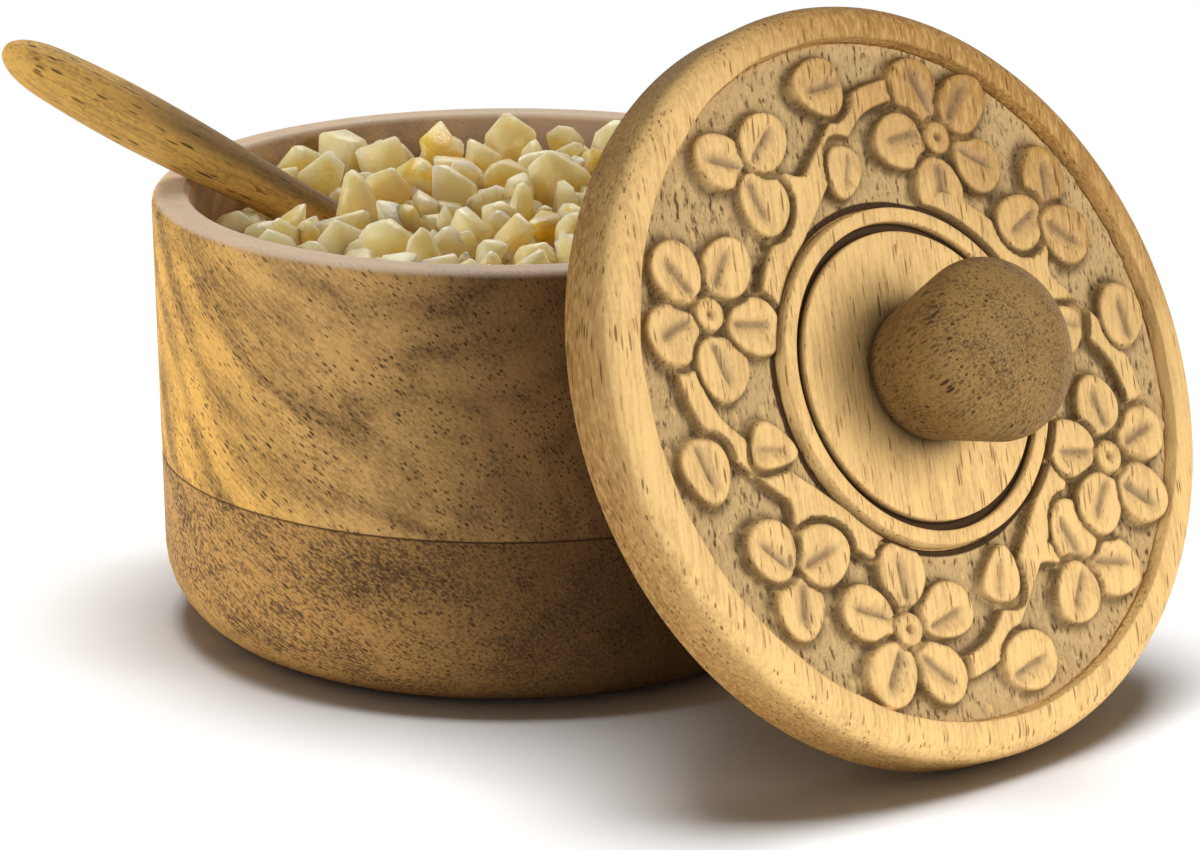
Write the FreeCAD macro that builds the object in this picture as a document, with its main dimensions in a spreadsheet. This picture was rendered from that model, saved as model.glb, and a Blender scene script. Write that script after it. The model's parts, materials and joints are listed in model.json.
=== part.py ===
"""Wooden salt box: a turned pot glued up from two boards and filled with coarse salt,
its carved lid leaning against the rim, a turned knob and a small spoon.

Millimetres, +Z up. The pot's axis is Z and its foot stands on z = 0.
"""

import FreeCAD
import Part
import Sketcher

import math
import os
import random

from FreeCAD import Placement, Rotation, Vector

SIZES = (
    ("pot_radius", 55.2, "outside of the pot at the rim"),
    ("pot_taper", 1.0, "pot narrower at the table than at the rim"),
    ("wall_thickness", 5.8, "wall of the pot at the rim"),
    ("pot_height", 70.0, "table to rim"),
    ("seam_height", 28.7, "glue seam between the two boards"),
    ("floor_thickness", 11.0, "wood under the salt"),
    ("foot_round", 14.0, "rounding from the side to the foot"),
    ("floor_round", 7.0, "cove between floor and inner wall"),
    ("rim_round", 1.8, "outer edge of the rim"),
    ("mouth_round", 1.0, "inner edge of the rim"),
    ("lid_overhang", 1.5, "lid past the pot all round"),
    ("lid_thickness", 11.4, "flange of the lid"),
    ("lid_face_round", 3.6, "outer edge of the carved face"),
    ("lid_back_round", 1.5, "outer edge of the back"),
    ("spigot_height", 8.5, "plug under the lid that drops into the mouth"),
    ("spigot_round", 1.0, "lower edge of the plug"),
    ("mouth_play", 0.6, "gap between plug and mouth all round"),
    ("border_width", 5.5, "plain border round the carved field"),
    ("field_depth", 3.2, "carved field below the face"),
    ("field_cove", 0.8, "cove at the foot of the field's outer wall"),
    ("medallion_radius", 21.6, "plain round middle of the lid"),
    ("groove_width", 1.5, "turned groove round the middle"),
    ("ring_width", 2.1, "turned ring between groove and field"),
    ("groove_depth", 1.8, "turned groove below the face"),
    ("carving_turn", 63.0, "degrees from the lid's level line to the first flower"),
    ("flower_share", 0.51, "centres of the flowers, from the ring to the border"),
    ("flower_reach", 8.0, "flower centre to petal centre"),
    ("petal_length", 8.8, "long way over a petal"),
    ("petal_width", 7.6, "short way over a petal"),
    ("petal_height", 2.6, "petals above the field"),
    ("button_width", 5.2, "round heart of a flower"),
    ("bud_share", 0.57, "centres of the buds, from the ring to the border"),
    ("bud_reach", 5.3, "bud centre to petal centre"),
    ("leaf_outer_share", 0.74, "centres of the leaves by the border"),
    ("leaf_inner_share", 0.26, "centres of the leaves by the ring"),
    ("vine_width", 3.4, "carved stem"),
    ("lid_turn", 42.8, "degrees that the leaning lid faces to the right of -Y"),
    ("lid_lean", 64.2, "degrees between the leaning lid and the table"),
    ("lid_shift", 6.5, "lid centre to the right of the line through the pot's axis"),
    ("rest_gap", 0.4, "air left where one piece rests on another"),
    ("knob_foot_radius", 9.7, "knob where it meets the lid"),
    ("knob_radius", 14.2, "knob at its shoulder, before rounding"),
    ("knob_shoulder", 17.6, "lid face to the shoulder"),
    ("knob_crown", 5.8, "shoulder to the top"),
    ("knob_round", 6.2, "shoulder under the crown"),
    ("tenon_radius", 5.0, "glued tenon of the knob"),
    ("tenon_length", 11.0, "glued tenon of the knob"),
    ("glue_line", 0.05, "glue round and under the tenon"),
    ("spoon_length", 96.0, "whole spoon"),
    ("handle_width", 10.2, "handle at its widest"),
    ("handle_depth", 9.4, "handle at its thickest"),
    ("bowl_length", 30.0, "bowl of the spoon"),
    ("bowl_width", 22.0, "bowl of the spoon"),
    ("bowl_depth", 8.0, "handle's axis to the lowest point of the bowl"),
    ("bowl_wall", 2.3, "wood left round the hollow"),
    ("bowl_lip", 1.0, "handle's axis up to the lip of the bowl"),
    ("scoop_radius", 110.0, "sweep of the lip in side view"),
    ("spoon_azimuth", 186.6, "degrees from +X to the level way of the handle"),
    ("spoon_rise", 30.2, "degrees that the handle climbs"),
    ("spoon_rim_angle", 177.6, "degrees from +X to where the handle crosses the rim"),
    ("spoon_rim_station", 61.0, "end of the bowl to where the handle crosses the rim"),
    ("draw_lift", 8.0, "degrees that the way out is steeper than the handle"),
    ("salt_level", 58.8, "top of the packed salt"),
    ("salt_play", 0.2, "gap between packed salt and wood"),
    ("spoon_play", 0.6, "gap between packed salt and the way of the spoon"),
    ("spoon_bed_play", 1.6, "gap between packed salt and the underside of the drawn spoon"),
    ("crystal_pitch", 8.6, "distance between crystals"),
    ("crystal_tall", 6.4, "tallest crystal above the packed salt"),
)

# Counts and turns of the carving, in degrees from one flower to the parts of its stem.
MOTIFS = 4
PETALS = 5
PETAL_TURN = 44
BUD_TURN = 58
BUD_WAYS = (38, 160, 280)
LEAF_TURN = 32
LEAF_OUTER_HEADING = 90
LEAF_INNER_HEADING = 110
LEAF_INNER_LONG = 0.85
LEAF_INNER_WIDE = 0.75
VINE_TURNS = (14, 28, 38.5, 52, 66, 80)
BUD_STEM_TURNS = (48, 52.5, 57)

# Shares of the knob's radius in its crown.
CROWN_SHARE = 0.535
CROWN_ROUND_SHARE = 0.7

# Shares of the bowl's length from its end to the lip's lowest point and to the hollow's middle and end.
LIP_SHARE = 0.3
HOLLOW_MIDDLE = 0.47
HOLLOW_HALF = 0.49

# Chance in the broken crystals, as shares of their pitch and height.
SEED = 7
CELL_SHARE = 0.92
GRAIN_LONG = (0.85, 1.15)
GRAIN_BROAD = (0.6, 0.85)
GRAIN_TALL = (0.62, 1.0)
GRAIN_BLOCK = 1.7
GRAIN_RISE = 0.1
GRAIN_TILT = 24
WALL_ROOM = 0.6
LEAST_GRAIN = 0.02

# Millimetres within which two heights or radii count as one.
LEAST_STEP = 0.01

doc = FreeCAD.newDocument("salt_box")
sheet = doc.addObject("Spreadsheet::Sheet", "sizes")
for row, (alias, value, note) in enumerate(SIZES, 1):
    sheet.set(f"A{row}", alias)
    sheet.set(f"B{row}", str(value))
    sheet.set(f"C{row}", note)
    sheet.setAlias(f"B{row}", alias)
doc.recompute()


def size(alias):
    """Number in the sheet's cell."""
    return float(getattr(sheet, alias))


def bind(thing, prop, formula):
    """Tie a property to a formula on the sheet, whose aliases start with s. there."""
    thing.setExpression(prop, formula.replace("s.", "sizes."))


def value_of(formula):
    """Number that a formula on the sheet gives."""
    return float(sheet.evalExpression(formula.replace("s.", "")))


def new_body(name):
    return doc.addObject("PartDesign::Body", name)


def profile(body, name, corners):
    """Half profile on the body's XZ plane, one (radius, height) formula pair per corner."""
    sketch = body.newObject("Sketcher::SketchObject", name)
    plane = next(item for item in body.Origin.OriginFeatures if item.Role == "XZ_Plane")
    sketch.AttachmentSupport = [(plane, "")]
    sketch.MapMode = "FlatFace"
    points = [Vector(value_of(radius), value_of(height), 0) for radius, height in corners]
    count = len(points)
    for index, point in enumerate(points):
        sketch.addGeometry(Part.LineSegment(point, points[(index + 1) % count]), False)
    for index, (radius, height) in enumerate(corners):
        sketch.addConstraint(Sketcher.Constraint("Coincident", index, 2, (index + 1) % count, 1))
        pin(sketch, index, "DistanceX", radius, -2)
        pin(sketch, index, "DistanceY", height, -1)
    sketch.Visibility = False
    return sketch


def pin(sketch, line, kind, formula, axis):
    """Hold the start of a line at a driven distance from the origin, or on the axis at zero."""
    if formula == "0":
        sketch.addConstraint(Sketcher.Constraint("PointOnObject", line, 1, axis))
        return
    number = sketch.addConstraint(Sketcher.Constraint(kind, -1, 1, line, 1, value_of(formula)))
    bind(sketch, f"Constraints[{number}]", formula)


def turned(body, name, sketch):
    """Whole turn of a half profile about the body's Z axis."""
    feature = body.newObject("PartDesign::Revolution", name)
    feature.Profile = sketch
    feature.ReferenceAxis = (sketch, ["V_Axis"])
    feature.Angle = 360
    doc.recompute()
    return feature


def rounded(body, name, base, rim, radius):
    """Round the turned edge that has the (radius, height) formulas in rim."""
    wide, high = value_of(rim[0]), value_of(rim[1])
    edges = []
    for index, edge in enumerate(base.Shape.Edges, 1):
        curve = edge.Curve
        if not isinstance(curve, Part.Circle):
            continue
        if abs(curve.Radius - wide) < LEAST_STEP and abs(curve.Center.z - high) < LEAST_STEP:
            edges.append(f"Edge{index}")
    feature = body.newObject("PartDesign::Fillet", name)
    feature.Base = (base, edges)
    bind(feature, "Radius", radius)
    doc.recompute()
    return feature


def polar(radius, degrees, height=0.0):
    angle = math.radians(degrees)
    return Vector(radius * math.cos(angle), radius * math.sin(angle), height)


def oval(name, half_first, half_second):
    """Oval outline about the origin, longer either way, with its half widths along X and Y."""
    stretch = FreeCAD.Matrix()
    stretch.scale(value_of(half_first), value_of(half_second), 1)
    outline = doc.addObject("Part::Feature", name)
    outline.Shape = Part.Wire(Part.makeCircle(1)).transformGeometry(stretch)
    return outline


# Radii that more than one piece shares.
foot = "(s.pot_radius - s.pot_taper)"
seam = "(s.pot_radius - s.pot_taper * (1 - s.seam_height / s.pot_height))"
mouth = "(s.pot_radius - s.wall_thickness)"
plug = "(s.pot_radius - s.wall_thickness - s.mouth_play)"
lid_edge = "(s.pot_radius + s.lid_overhang)"
border = "(s.pot_radius + s.lid_overhang - s.border_width)"
ring_inside = "(s.medallion_radius + s.groove_width)"
ring_outside = "(s.medallion_radius + s.groove_width + s.ring_width)"

# Pot, lower board: floor, foot and the start of the wall.
pot_base = new_body("pot_base")
shape = turned(pot_base, "base_turning", profile(pot_base, "base_profile", (
    ("0", "0"),
    (foot, "0"),
    (seam, "s.seam_height"),
    (mouth, "s.seam_height"),
    (mouth, "s.floor_thickness"),
    ("0", "s.floor_thickness"),
)))
shape = rounded(pot_base, "base_foot_round", shape, (foot, "0"), "s.foot_round")
shape = rounded(pot_base, "base_floor_cove", shape, (mouth, "s.floor_thickness"), "s.floor_round")

# Pot, upper board: a turned ring glued on the lower one.
pot_wall = new_body("pot_wall")
shape = turned(pot_wall, "wall_turning", profile(pot_wall, "wall_profile", (
    (mouth, "s.seam_height"),
    (seam, "s.seam_height"),
    ("s.pot_radius", "s.pot_height"),
    (mouth, "s.pot_height"),
)))
shape = rounded(pot_wall, "wall_rim_round", shape, ("s.pot_radius", "s.pot_height"), "s.rim_round")
shape = rounded(pot_wall, "wall_mouth_round", shape, (mouth, "s.pot_height"), "s.mouth_round")

# Lid blank, with the end of its plug on z = 0.
face = "s.spigot_height + s.lid_thickness"
field = "s.spigot_height + s.lid_thickness - s.field_depth"
groove = "s.spigot_height + s.lid_thickness - s.groove_depth"
socket = "s.spigot_height + s.lid_thickness - s.tenon_length - s.glue_line"
blank = new_body("lid_blank")
shape = turned(blank, "lid_turning", profile(blank, "lid_profile", (
    ("0", "0"),
    (plug, "0"),
    (plug, "s.spigot_height"),
    (lid_edge, "s.spigot_height"),
    (lid_edge, face),
    (border, face),
    (border, field),
    (ring_outside, field),
    (ring_outside, face),
    (ring_inside, face),
    (ring_inside, groove),
    ("s.medallion_radius", groove),
    ("s.medallion_radius", face),
    ("s.tenon_radius + s.glue_line", face),
    ("s.tenon_radius + s.glue_line", socket),
    ("0", socket),
)))
shape = rounded(blank, "lid_face_round", shape, (lid_edge, face), "s.lid_face_round")
shape = rounded(blank, "lid_back_round", shape, (lid_edge, "s.spigot_height"), "s.lid_back_round")
shape = rounded(blank, "lid_field_cove", shape, (border, field), "s.field_cove")
shape = rounded(blank, "lid_spigot_round", shape, (plug, "0"), "s.spigot_round")

# Carving on the lid: four times the same stem with a flower, a bud and two leaves.
carving = []


def boss(name, centre, heading, length, width):
    """Oval boss standing on the carved field."""
    outline = oval(f"{name}_outline", f"({length}) / 2", f"({width}) / 2")
    outline.Placement = Placement(centre, Rotation(Vector(0, 0, 1), heading))
    bind(outline, "Placement.Base.z", field)
    solid = doc.addObject("Part::Extrusion", name)
    solid.Base = outline
    solid.DirMode = "Custom"
    solid.Dir = Vector(0, 0, 1)
    solid.Solid = True
    bind(solid, "LengthFwd", "s.petal_height")
    carving.append(solid)


def heart(name, centre):
    """Round heart of a flower."""
    solid = doc.addObject("Part::Cylinder", name)
    solid.Placement = Placement(centre, Rotation())
    bind(solid, "Radius", "s.button_width / 2")
    bind(solid, "Height", "s.petal_height")
    bind(solid, "Placement.Base.z", field)
    carving.append(solid)


def stem(name, turn, way):
    """Flat carved stem, as high as the lid's face, along (radius, degrees) stations."""
    half = size("vine_width") / 2
    centre = [polar(radius, turn + degrees) for radius, degrees in way]
    line = Part.BSplineCurve()
    line.interpolate(centre)
    sides = []
    for offset in (half, -half):
        points = []
        for point in centre:
            tangent = line.tangent(line.parameter(point))[0]
            points.append(point + Vector(-tangent.y, tangent.x, 0) * offset)
        side = Part.BSplineCurve()
        side.interpolate(points)
        sides.append((side.toShape(), points))
    (left, left_points), (right, right_points) = sides
    outline = Part.Wire([
        left,
        Part.makeLine(left_points[-1], right_points[-1]),
        right,
        Part.makeLine(right_points[0], left_points[0]),
    ])
    solid = doc.addObject("Part::Feature", name)
    solid.Shape = Part.Face(outline).extrude(Vector(0, 0, size("field_depth")))
    solid.Placement = Placement(Vector(0, 0, value_of(field)), Rotation())
    carving.append(solid)


def field_way(share):
    """Radius at a share of the way from the turned ring to the border."""
    return value_of(ring_outside) + share * (value_of(border) - value_of(ring_outside))


flower_way = field_way(size("flower_share"))
bud_way = field_way(size("bud_share"))
leaf_outer_way = field_way(size("leaf_outer_share"))
leaf_inner_way = field_way(size("leaf_inner_share"))
ring_side = value_of(ring_outside) + size("vine_width") / 2 + size("groove_width") / 2
vine_ways = (
    flower_way + size("petal_width") / 2,
    flower_way + size("vine_width") / 5,
    leaf_inner_way + size("vine_width") / 2,
    ring_side + size("vine_width") / 3,
    ring_side,
    ring_side,
)
bud_stem_ways = (
    ring_side + size("vine_width") / 6,
    bud_way - size("bud_reach") * 1.2,
    bud_way - size("bud_reach") * 0.2,
)
for motif in range(MOTIFS):
    turn = size("carving_turn") + motif * 360 / MOTIFS
    middle = polar(flower_way, turn)
    heart(f"flower_{motif}", middle)
    for petal in range(PETALS):
        heading = turn + PETAL_TURN + petal * 360 / PETALS
        centre = middle + polar(size("flower_reach"), heading)
        boss(f"petal_{motif}_{petal}", centre, heading, "s.petal_length", "s.petal_width")
    middle = polar(bud_way, turn + BUD_TURN)
    for petal, way in enumerate(BUD_WAYS):
        heading = turn + BUD_TURN + way
        centre = middle + polar(size("bud_reach"), heading)
        boss(f"bud_{motif}_{petal}", centre, heading, "s.petal_length", "s.petal_width")
    leaf = turn + LEAF_TURN
    boss(f"leaf_outer_{motif}", polar(leaf_outer_way, leaf), leaf + LEAF_OUTER_HEADING,
         "s.petal_length", "s.petal_width")
    boss(f"leaf_inner_{motif}", polar(leaf_inner_way, leaf), leaf + LEAF_INNER_HEADING,
         f"s.petal_length * {LEAF_INNER_LONG}", f"s.petal_width * {LEAF_INNER_WIDE}")
    stem(f"vine_{motif}", turn, zip(vine_ways, VINE_TURNS))
    stem(f"bud_stem_{motif}", turn, zip(bud_stem_ways, BUD_STEM_TURNS))

lid = doc.addObject("Part::MultiFuse", "lid")
lid.Shapes = [blank] + carving
lid.Refine = False

# The lid leans with the end of its plug on the rim and its edge on the table.
lean = math.radians(size("lid_lean"))
back = size("lid_back_round")
up_lid = Vector(0, math.cos(lean), math.sin(lean))
out_lid = Vector(0, -math.sin(lean), math.cos(lean))
rim_corner = Vector(0, size("rim_round") - size("pot_radius"), size("pot_height") - size("rim_round"))
plug_way = rim_corner.dot(out_lid) + size("rim_round") + size("rest_gap")
back_way = plug_way + size("spigot_height")
back_height = (value_of(lid_edge) - back) * math.sin(lean) + back * (1 - math.cos(lean))
back_rise = (back_height - out_lid.z * back_way) / up_lid.z
lid_turn = Rotation(Vector(0, 0, 1), size("lid_turn"))
lid_rotation = lid_turn * Rotation(Vector(1, 0, 0), size("lid_lean"))
lid_centre = Vector(size("lid_shift"), 0, 0) + up_lid * back_rise + out_lid * plug_way
lid.Placement = Placement(lid_turn.multVec(lid_centre), lid_rotation)

# Knob, with the end of its tenon on z = 0.
shoulder = "s.tenon_length + s.knob_shoulder"
crown = "s.tenon_length + s.knob_shoulder + s.knob_crown"
crown_edge = f"s.knob_radius * {CROWN_SHARE}"
knob = new_body("knob")
shape = turned(knob, "knob_turning", profile(knob, "knob_profile", (
    ("0", "0"),
    ("s.tenon_radius", "0"),
    ("s.tenon_radius", "s.tenon_length"),
    ("s.knob_foot_radius", "s.tenon_length"),
    ("s.knob_radius", shoulder),
    (crown_edge, crown),
    ("0", crown),
)))
shape = rounded(knob, "knob_shoulder_round", shape, ("s.knob_radius", shoulder), "s.knob_round")
shape = rounded(knob, "knob_crown_round", shape, (crown_edge, crown), f"s.knob_radius * {CROWN_ROUND_SHARE}")
knob_lift = Vector(0, 0, value_of(face) - size("tenon_length"))
knob.Placement = lid.Placement * Placement(knob_lift, Rotation())

# Spoon along +X from the end of the bowl, hollow up.
# Each station: way along the spoon, half width and half depth.
bowl_long, spoon_long = "s.bowl_length", "s.spoon_length"
wide, deep = "s.bowl_width / 2", "s.bowl_depth"
stations = (
    ("0", f"{wide} * 0.14", f"{deep} * 0.13"),
    (f"{bowl_long} * 0.05", f"{wide} * 0.46", f"{deep} * 0.40"),
    (f"{bowl_long} * 0.16", f"{wide} * 0.77", f"{deep} * 0.72"),
    (f"{bowl_long} * 0.32", f"{wide} * 0.96", f"{deep} * 0.94"),
    (f"{bowl_long} * 0.50", wide, deep),
    (f"{bowl_long} * 0.70", f"{wide} * 0.88", f"{deep} * 0.92"),
    (f"{bowl_long} * 0.88", f"{wide} * 0.60", f"{deep} * 0.72"),
    (f"{bowl_long} * 1.06", "s.handle_width * 0.42", "s.handle_depth * 0.45"),
    (f"{bowl_long} * 1.30", "s.handle_width * 0.38", "s.handle_depth * 0.385"),
    (f"{spoon_long} * 0.47", "s.handle_width * 0.385", "s.handle_depth * 0.39"),
    (f"{spoon_long} * 0.62", "s.handle_width * 0.45", "s.handle_depth * 0.455"),
    (f"{spoon_long} * 0.78", "s.handle_width * 0.5", "s.handle_depth * 0.5"),
    (f"{spoon_long} * 0.90", "s.handle_width * 0.46", "s.handle_depth * 0.45"),
    (f"{spoon_long} * 0.96", "s.handle_width * 0.37", "s.handle_depth * 0.36"),
    (f"{spoon_long} * 0.99", "s.handle_width * 0.22", "s.handle_depth * 0.21"),
    (spoon_long, "s.handle_width * 0.08", "s.handle_depth * 0.075"),
)
across = Rotation(Vector(1, 1, 1), 120)
sections = []
for index, (way, half_wide, half_deep) in enumerate(stations):
    section = oval(f"spoon_section_{index}", half_wide, half_deep)
    section.Placement = Placement(Vector(0, 0, 0), across)
    bind(section, "Placement.Base.x", way)
    sections.append(section)
spoon_stick = doc.addObject("Part::Loft", "spoon_stick")
spoon_stick.Sections = sections
spoon_stick.Solid = True

scoop = doc.addObject("Part::Cylinder", "spoon_lip_sweep")
bind(scoop, "Radius", "s.scoop_radius")
bind(scoop, "Height", "s.bowl_width * 2")
scoop.Placement = Placement(Vector(0, 0, 0), Rotation(Vector(1, 0, 0), 90))
bind(scoop, "Placement.Base.x", f"s.bowl_length * {LIP_SHARE}")
bind(scoop, "Placement.Base.y", "s.bowl_width")
bind(scoop, "Placement.Base.z", "s.bowl_lip + s.scoop_radius")
hollow = doc.addObject("Part::Ellipsoid", "spoon_hollow")
bind(hollow, "Radius1", "s.bowl_depth + s.bowl_lip - s.bowl_wall")
bind(hollow, "Radius2", f"s.bowl_length * {HOLLOW_HALF} - s.bowl_wall")
bind(hollow, "Radius3", "s.bowl_width / 2 - s.bowl_wall")
bind(hollow, "Placement.Base.x", f"s.bowl_length * {HOLLOW_MIDDLE}")
bind(hollow, "Placement.Base.z", "s.bowl_lip")
spoon_cutters = doc.addObject("Part::MultiFuse", "spoon_cutters")
spoon_cutters.Shapes = [scoop, hollow]
spoon = doc.addObject("Part::Cut", "spoon")
spoon.Base = spoon_stick
spoon.Tool = spoon_cutters

# The spoon rests on the rounded inner edge of the rim.
spoon_rotation = Rotation(Vector(0, 0, 1), size("spoon_azimuth")) * Rotation(Vector(0, 1, 0), -size("spoon_rise"))
up_handle = spoon_rotation.multVec(Vector(0, 0, 1))
along_handle = spoon_rotation.multVec(Vector(1, 0, 0))
rim_edge = polar(value_of(mouth) + size("mouth_round"), size("spoon_rim_angle"),
                 size("pot_height") - size("mouth_round"))
handle_half = size("handle_depth") * 0.455
rim_point = rim_edge + up_handle * (size("mouth_round") + size("rest_gap") + handle_half)
spoon.Placement = Placement(rim_point - along_handle * size("spoon_rim_station"), spoon_rotation)

# Packed salt, open along the way of the spoon.
salt_edge = "(s.pot_radius - s.wall_thickness - s.salt_play)"
heap = new_body("salt_turning")
shape = turned(heap, "salt_turned", profile(heap, "salt_profile", (
    ("0", "s.floor_thickness"),
    (f"{mouth} - s.floor_round", "s.floor_thickness"),
    (salt_edge, "s.floor_thickness + s.floor_round + s.salt_play"),
    (salt_edge, "s.salt_level"),
    ("0", "s.salt_level"),
)))
draw_rotation = spoon_rotation * Rotation(Vector(0, 1, 0), -size("draw_lift"))
draw_way = draw_rotation.multVec(Vector(1, 0, 0))
draw_up = draw_rotation.multVec(Vector(0, 0, 1))
lift = math.radians(size("draw_lift"))
under = size("bowl_length") / 2 * math.sin(lift) + size("bowl_depth") * math.cos(lift) + size("spoon_bed_play")
over = size("bowl_lip") + size("bowl_length") ** 2 / (8 * size("scoop_radius")) + size("spoon_play")
channel = doc.addObject("Part::Box", "spoon_way")
bind(channel, "Length", "s.spoon_length")
bind(channel, "Width", "s.bowl_width + 2 * s.spoon_play")
channel.Height = under + over
corner = draw_rotation.multVec(Vector(-size("spoon_play"), -size("bowl_width") / 2 - size("spoon_play"), -under))
channel.Placement = Placement(spoon.Placement.Base + corner, draw_rotation)
salt_bed = doc.addObject("Part::Cut", "salt_bed")
salt_bed.Base = heap
salt_bed.Tool = channel
doc.recompute()


def crystal(chance, middle, foot, tall, pitch):
    """Broken crystal: an upright cell cut by a block that lies askew, flat underneath."""
    side = pitch * CELL_SHARE
    cell = Part.makeBox(side, side, tall, middle + Vector(-side / 2, -side / 2, foot))
    long = pitch * chance.uniform(*GRAIN_LONG)
    broad = pitch * chance.uniform(*GRAIN_BROAD)
    high = tall * GRAIN_BLOCK
    block = Part.makeBox(long, broad, high, Vector(-long / 2, -broad / 2, -high / 2))
    turn = chance.uniform(0, 360)
    tilt = Rotation(turn, chance.uniform(-GRAIN_TILT, GRAIN_TILT), chance.uniform(-GRAIN_TILT, GRAIN_TILT))
    block.Placement = Placement(middle + Vector(0, 0, foot + tall * GRAIN_RISE), tilt)
    return cell.common(block)


# Loose crystals standing on the packed salt, in crooked rows, clear of the wall and cut back at the spoon's way.
chance = random.Random(SEED)
pitch = size("crystal_pitch")
rows = int(value_of(mouth) / pitch) + 1
crystals = []
way_out = channel.Shape
for across_row in range(-rows, rows + 1):
    for along_row in range(-rows, rows + 1):
        middle = Vector((along_row + 0.5 * (across_row % 2)) * pitch, across_row * pitch, 0)
        tall = size("crystal_tall") * chance.uniform(*GRAIN_TALL)
        if middle.Length + pitch * WALL_ROOM > value_of(salt_edge):
            continue
        grain = crystal(chance, middle, size("salt_level"), tall, pitch).cut(way_out)
        for solid in grain.Solids:
            stands = solid.BoundBox.ZMin - size("salt_level") < LEAST_STEP
            if stands and solid.Volume > LEAST_GRAIN * pitch ** 3:
                crystals.append(solid)
salt_crystals = doc.addObject("Part::Feature", "salt_crystals")
salt_crystals.Shape = Part.makeCompound(crystals)
salt_crystals.Placement = Placement()
doc.recompute()

pieces = (pot_base, pot_wall, lid, knob, spoon, salt_bed, salt_crystals)
for item in doc.Objects:
    if "Invalid" in item.State or "Error" in item.State:
        raise RuntimeError(f"{item.Label} did not build: {item.State}")
os.makedirs("parts", exist_ok=True)
for piece in pieces:
    solid = piece.Shape
    if solid.isNull() or not solid.isValid():
        raise RuntimeError(f"{piece.Label} has no valid shape")
    solid.exportStep(f"parts/{piece.Label}.step")
    box = solid.BoundBox
    print(f"{piece.Label}: {len(solid.Solids)} solids, {solid.Volume / 1000:.2f} cm3, "
          f"x {box.XMin:.1f} {box.XMax:.1f}, y {box.YMin:.1f} {box.YMax:.1f}, z {box.ZMin:.2f} {box.ZMax:.1f}")
print("lid axis", lid_rotation.multVec(Vector(0, 0, 1)))
print("knob crown", knob.Placement.multVec(Vector(0, 0, value_of(crown))))
print("spoon way out", draw_way)
print("spoon end", spoon.Placement.Base, "rim point", rim_point)
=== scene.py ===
"""Salt box in turned and carved wood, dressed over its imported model.

The pot's two boards, the lid and the knob are turned again as fine meshes, the lid with its carving.
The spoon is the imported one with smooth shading, and the top of the salt is strewn crystals.
Metres, +Z up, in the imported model's own frame.
"""

import json
import math
import random

import bmesh
import bpy
import numpy as np
from bpy.props import FloatProperty, FloatVectorProperty, IntProperty, PointerProperty
from mathutils import Color, Matrix, Vector, noise


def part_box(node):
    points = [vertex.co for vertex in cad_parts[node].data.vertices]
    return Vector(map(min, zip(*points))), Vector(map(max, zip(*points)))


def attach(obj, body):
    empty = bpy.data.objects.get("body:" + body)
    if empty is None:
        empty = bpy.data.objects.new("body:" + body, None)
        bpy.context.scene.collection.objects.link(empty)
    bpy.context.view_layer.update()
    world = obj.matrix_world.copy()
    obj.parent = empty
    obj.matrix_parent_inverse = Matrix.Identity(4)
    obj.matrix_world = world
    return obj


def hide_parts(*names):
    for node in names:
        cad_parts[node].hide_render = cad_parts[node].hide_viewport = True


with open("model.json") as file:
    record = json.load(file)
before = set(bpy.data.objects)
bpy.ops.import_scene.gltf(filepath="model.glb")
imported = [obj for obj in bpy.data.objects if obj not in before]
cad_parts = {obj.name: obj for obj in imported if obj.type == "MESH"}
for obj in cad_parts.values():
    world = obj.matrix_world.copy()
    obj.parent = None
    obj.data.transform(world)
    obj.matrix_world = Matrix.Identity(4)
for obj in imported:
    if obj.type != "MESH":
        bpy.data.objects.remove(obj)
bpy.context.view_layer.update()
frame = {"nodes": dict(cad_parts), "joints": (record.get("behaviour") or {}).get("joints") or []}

bl_info = {
    "name": "Carved salt box",
    "version": (1, 0, 0),
    "blender": (4, 5, 0),
    "location": "3D View > Sidebar > Salt box",
    "description": "Carved lid, wood finishes, salt crystals and a studio for a turned salt box",
    "category": "Object",
}

MM = 0.001
JOINT_AXES = {joint["name"]: Vector(joint["axis"]).normalized() for joint in frame["joints"]}


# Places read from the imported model

def lid_places():
    """Centre of the lid's face, the turn from the lid's plane to the world, and its sizes."""
    out = JOINT_AXES["lid_lift"]
    level = Vector((-out.y, out.x, 0)).normalized()
    upright = out.cross(level)
    points = np.array([v.co for v in frame["nodes"]["lid"].data.vertices])
    reach = points @ np.array((level, upright, out)).T
    low, high = reach.min(0), reach.max(0)
    middle = (low + high) / 2
    return {
        "centre": level * middle[0] + upright * middle[1] + out * high[2],
        "turn": Matrix((level, upright, out)).transposed(),
        "radius": (high[0] - low[0]) / 2,
        "height": high[2] - low[2],
    }


LID = lid_places()
LID_OUT = JOINT_AXES["lid_lift"]
POT_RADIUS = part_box("pot_wall")[1].x
POT_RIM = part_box("pot_wall")[1].z
POT_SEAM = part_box("pot_wall")[0].z
SALT_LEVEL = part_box("salt_bed")[1].z
SALT_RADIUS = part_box("salt_bed")[1].x


# Settings that a user would change

def length(name, description, millimetres):
    """Length setting given in millimetres."""
    return FloatProperty(
        name=name, description=description, default=millimetres * MM, unit="LENGTH", precision=4)


def colour(name, description, red, green, blue):
    """Colour setting."""
    return FloatVectorProperty(
        name=name, description=description, subtype="COLOR", size=3, default=(red, green, blue))


def count(name, description, default, least=1):
    """Whole number setting."""
    return IntProperty(name=name, description=description, default=default, min=least)


def angle(name, description, degrees):
    """Angle setting given in degrees."""
    return FloatProperty(
        name=name, description=description, default=math.radians(degrees), subtype="ANGLE")


def power(name, description, watts):
    """Lamp power setting."""
    return FloatProperty(name=name, description=description, default=watts, subtype="POWER")


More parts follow.
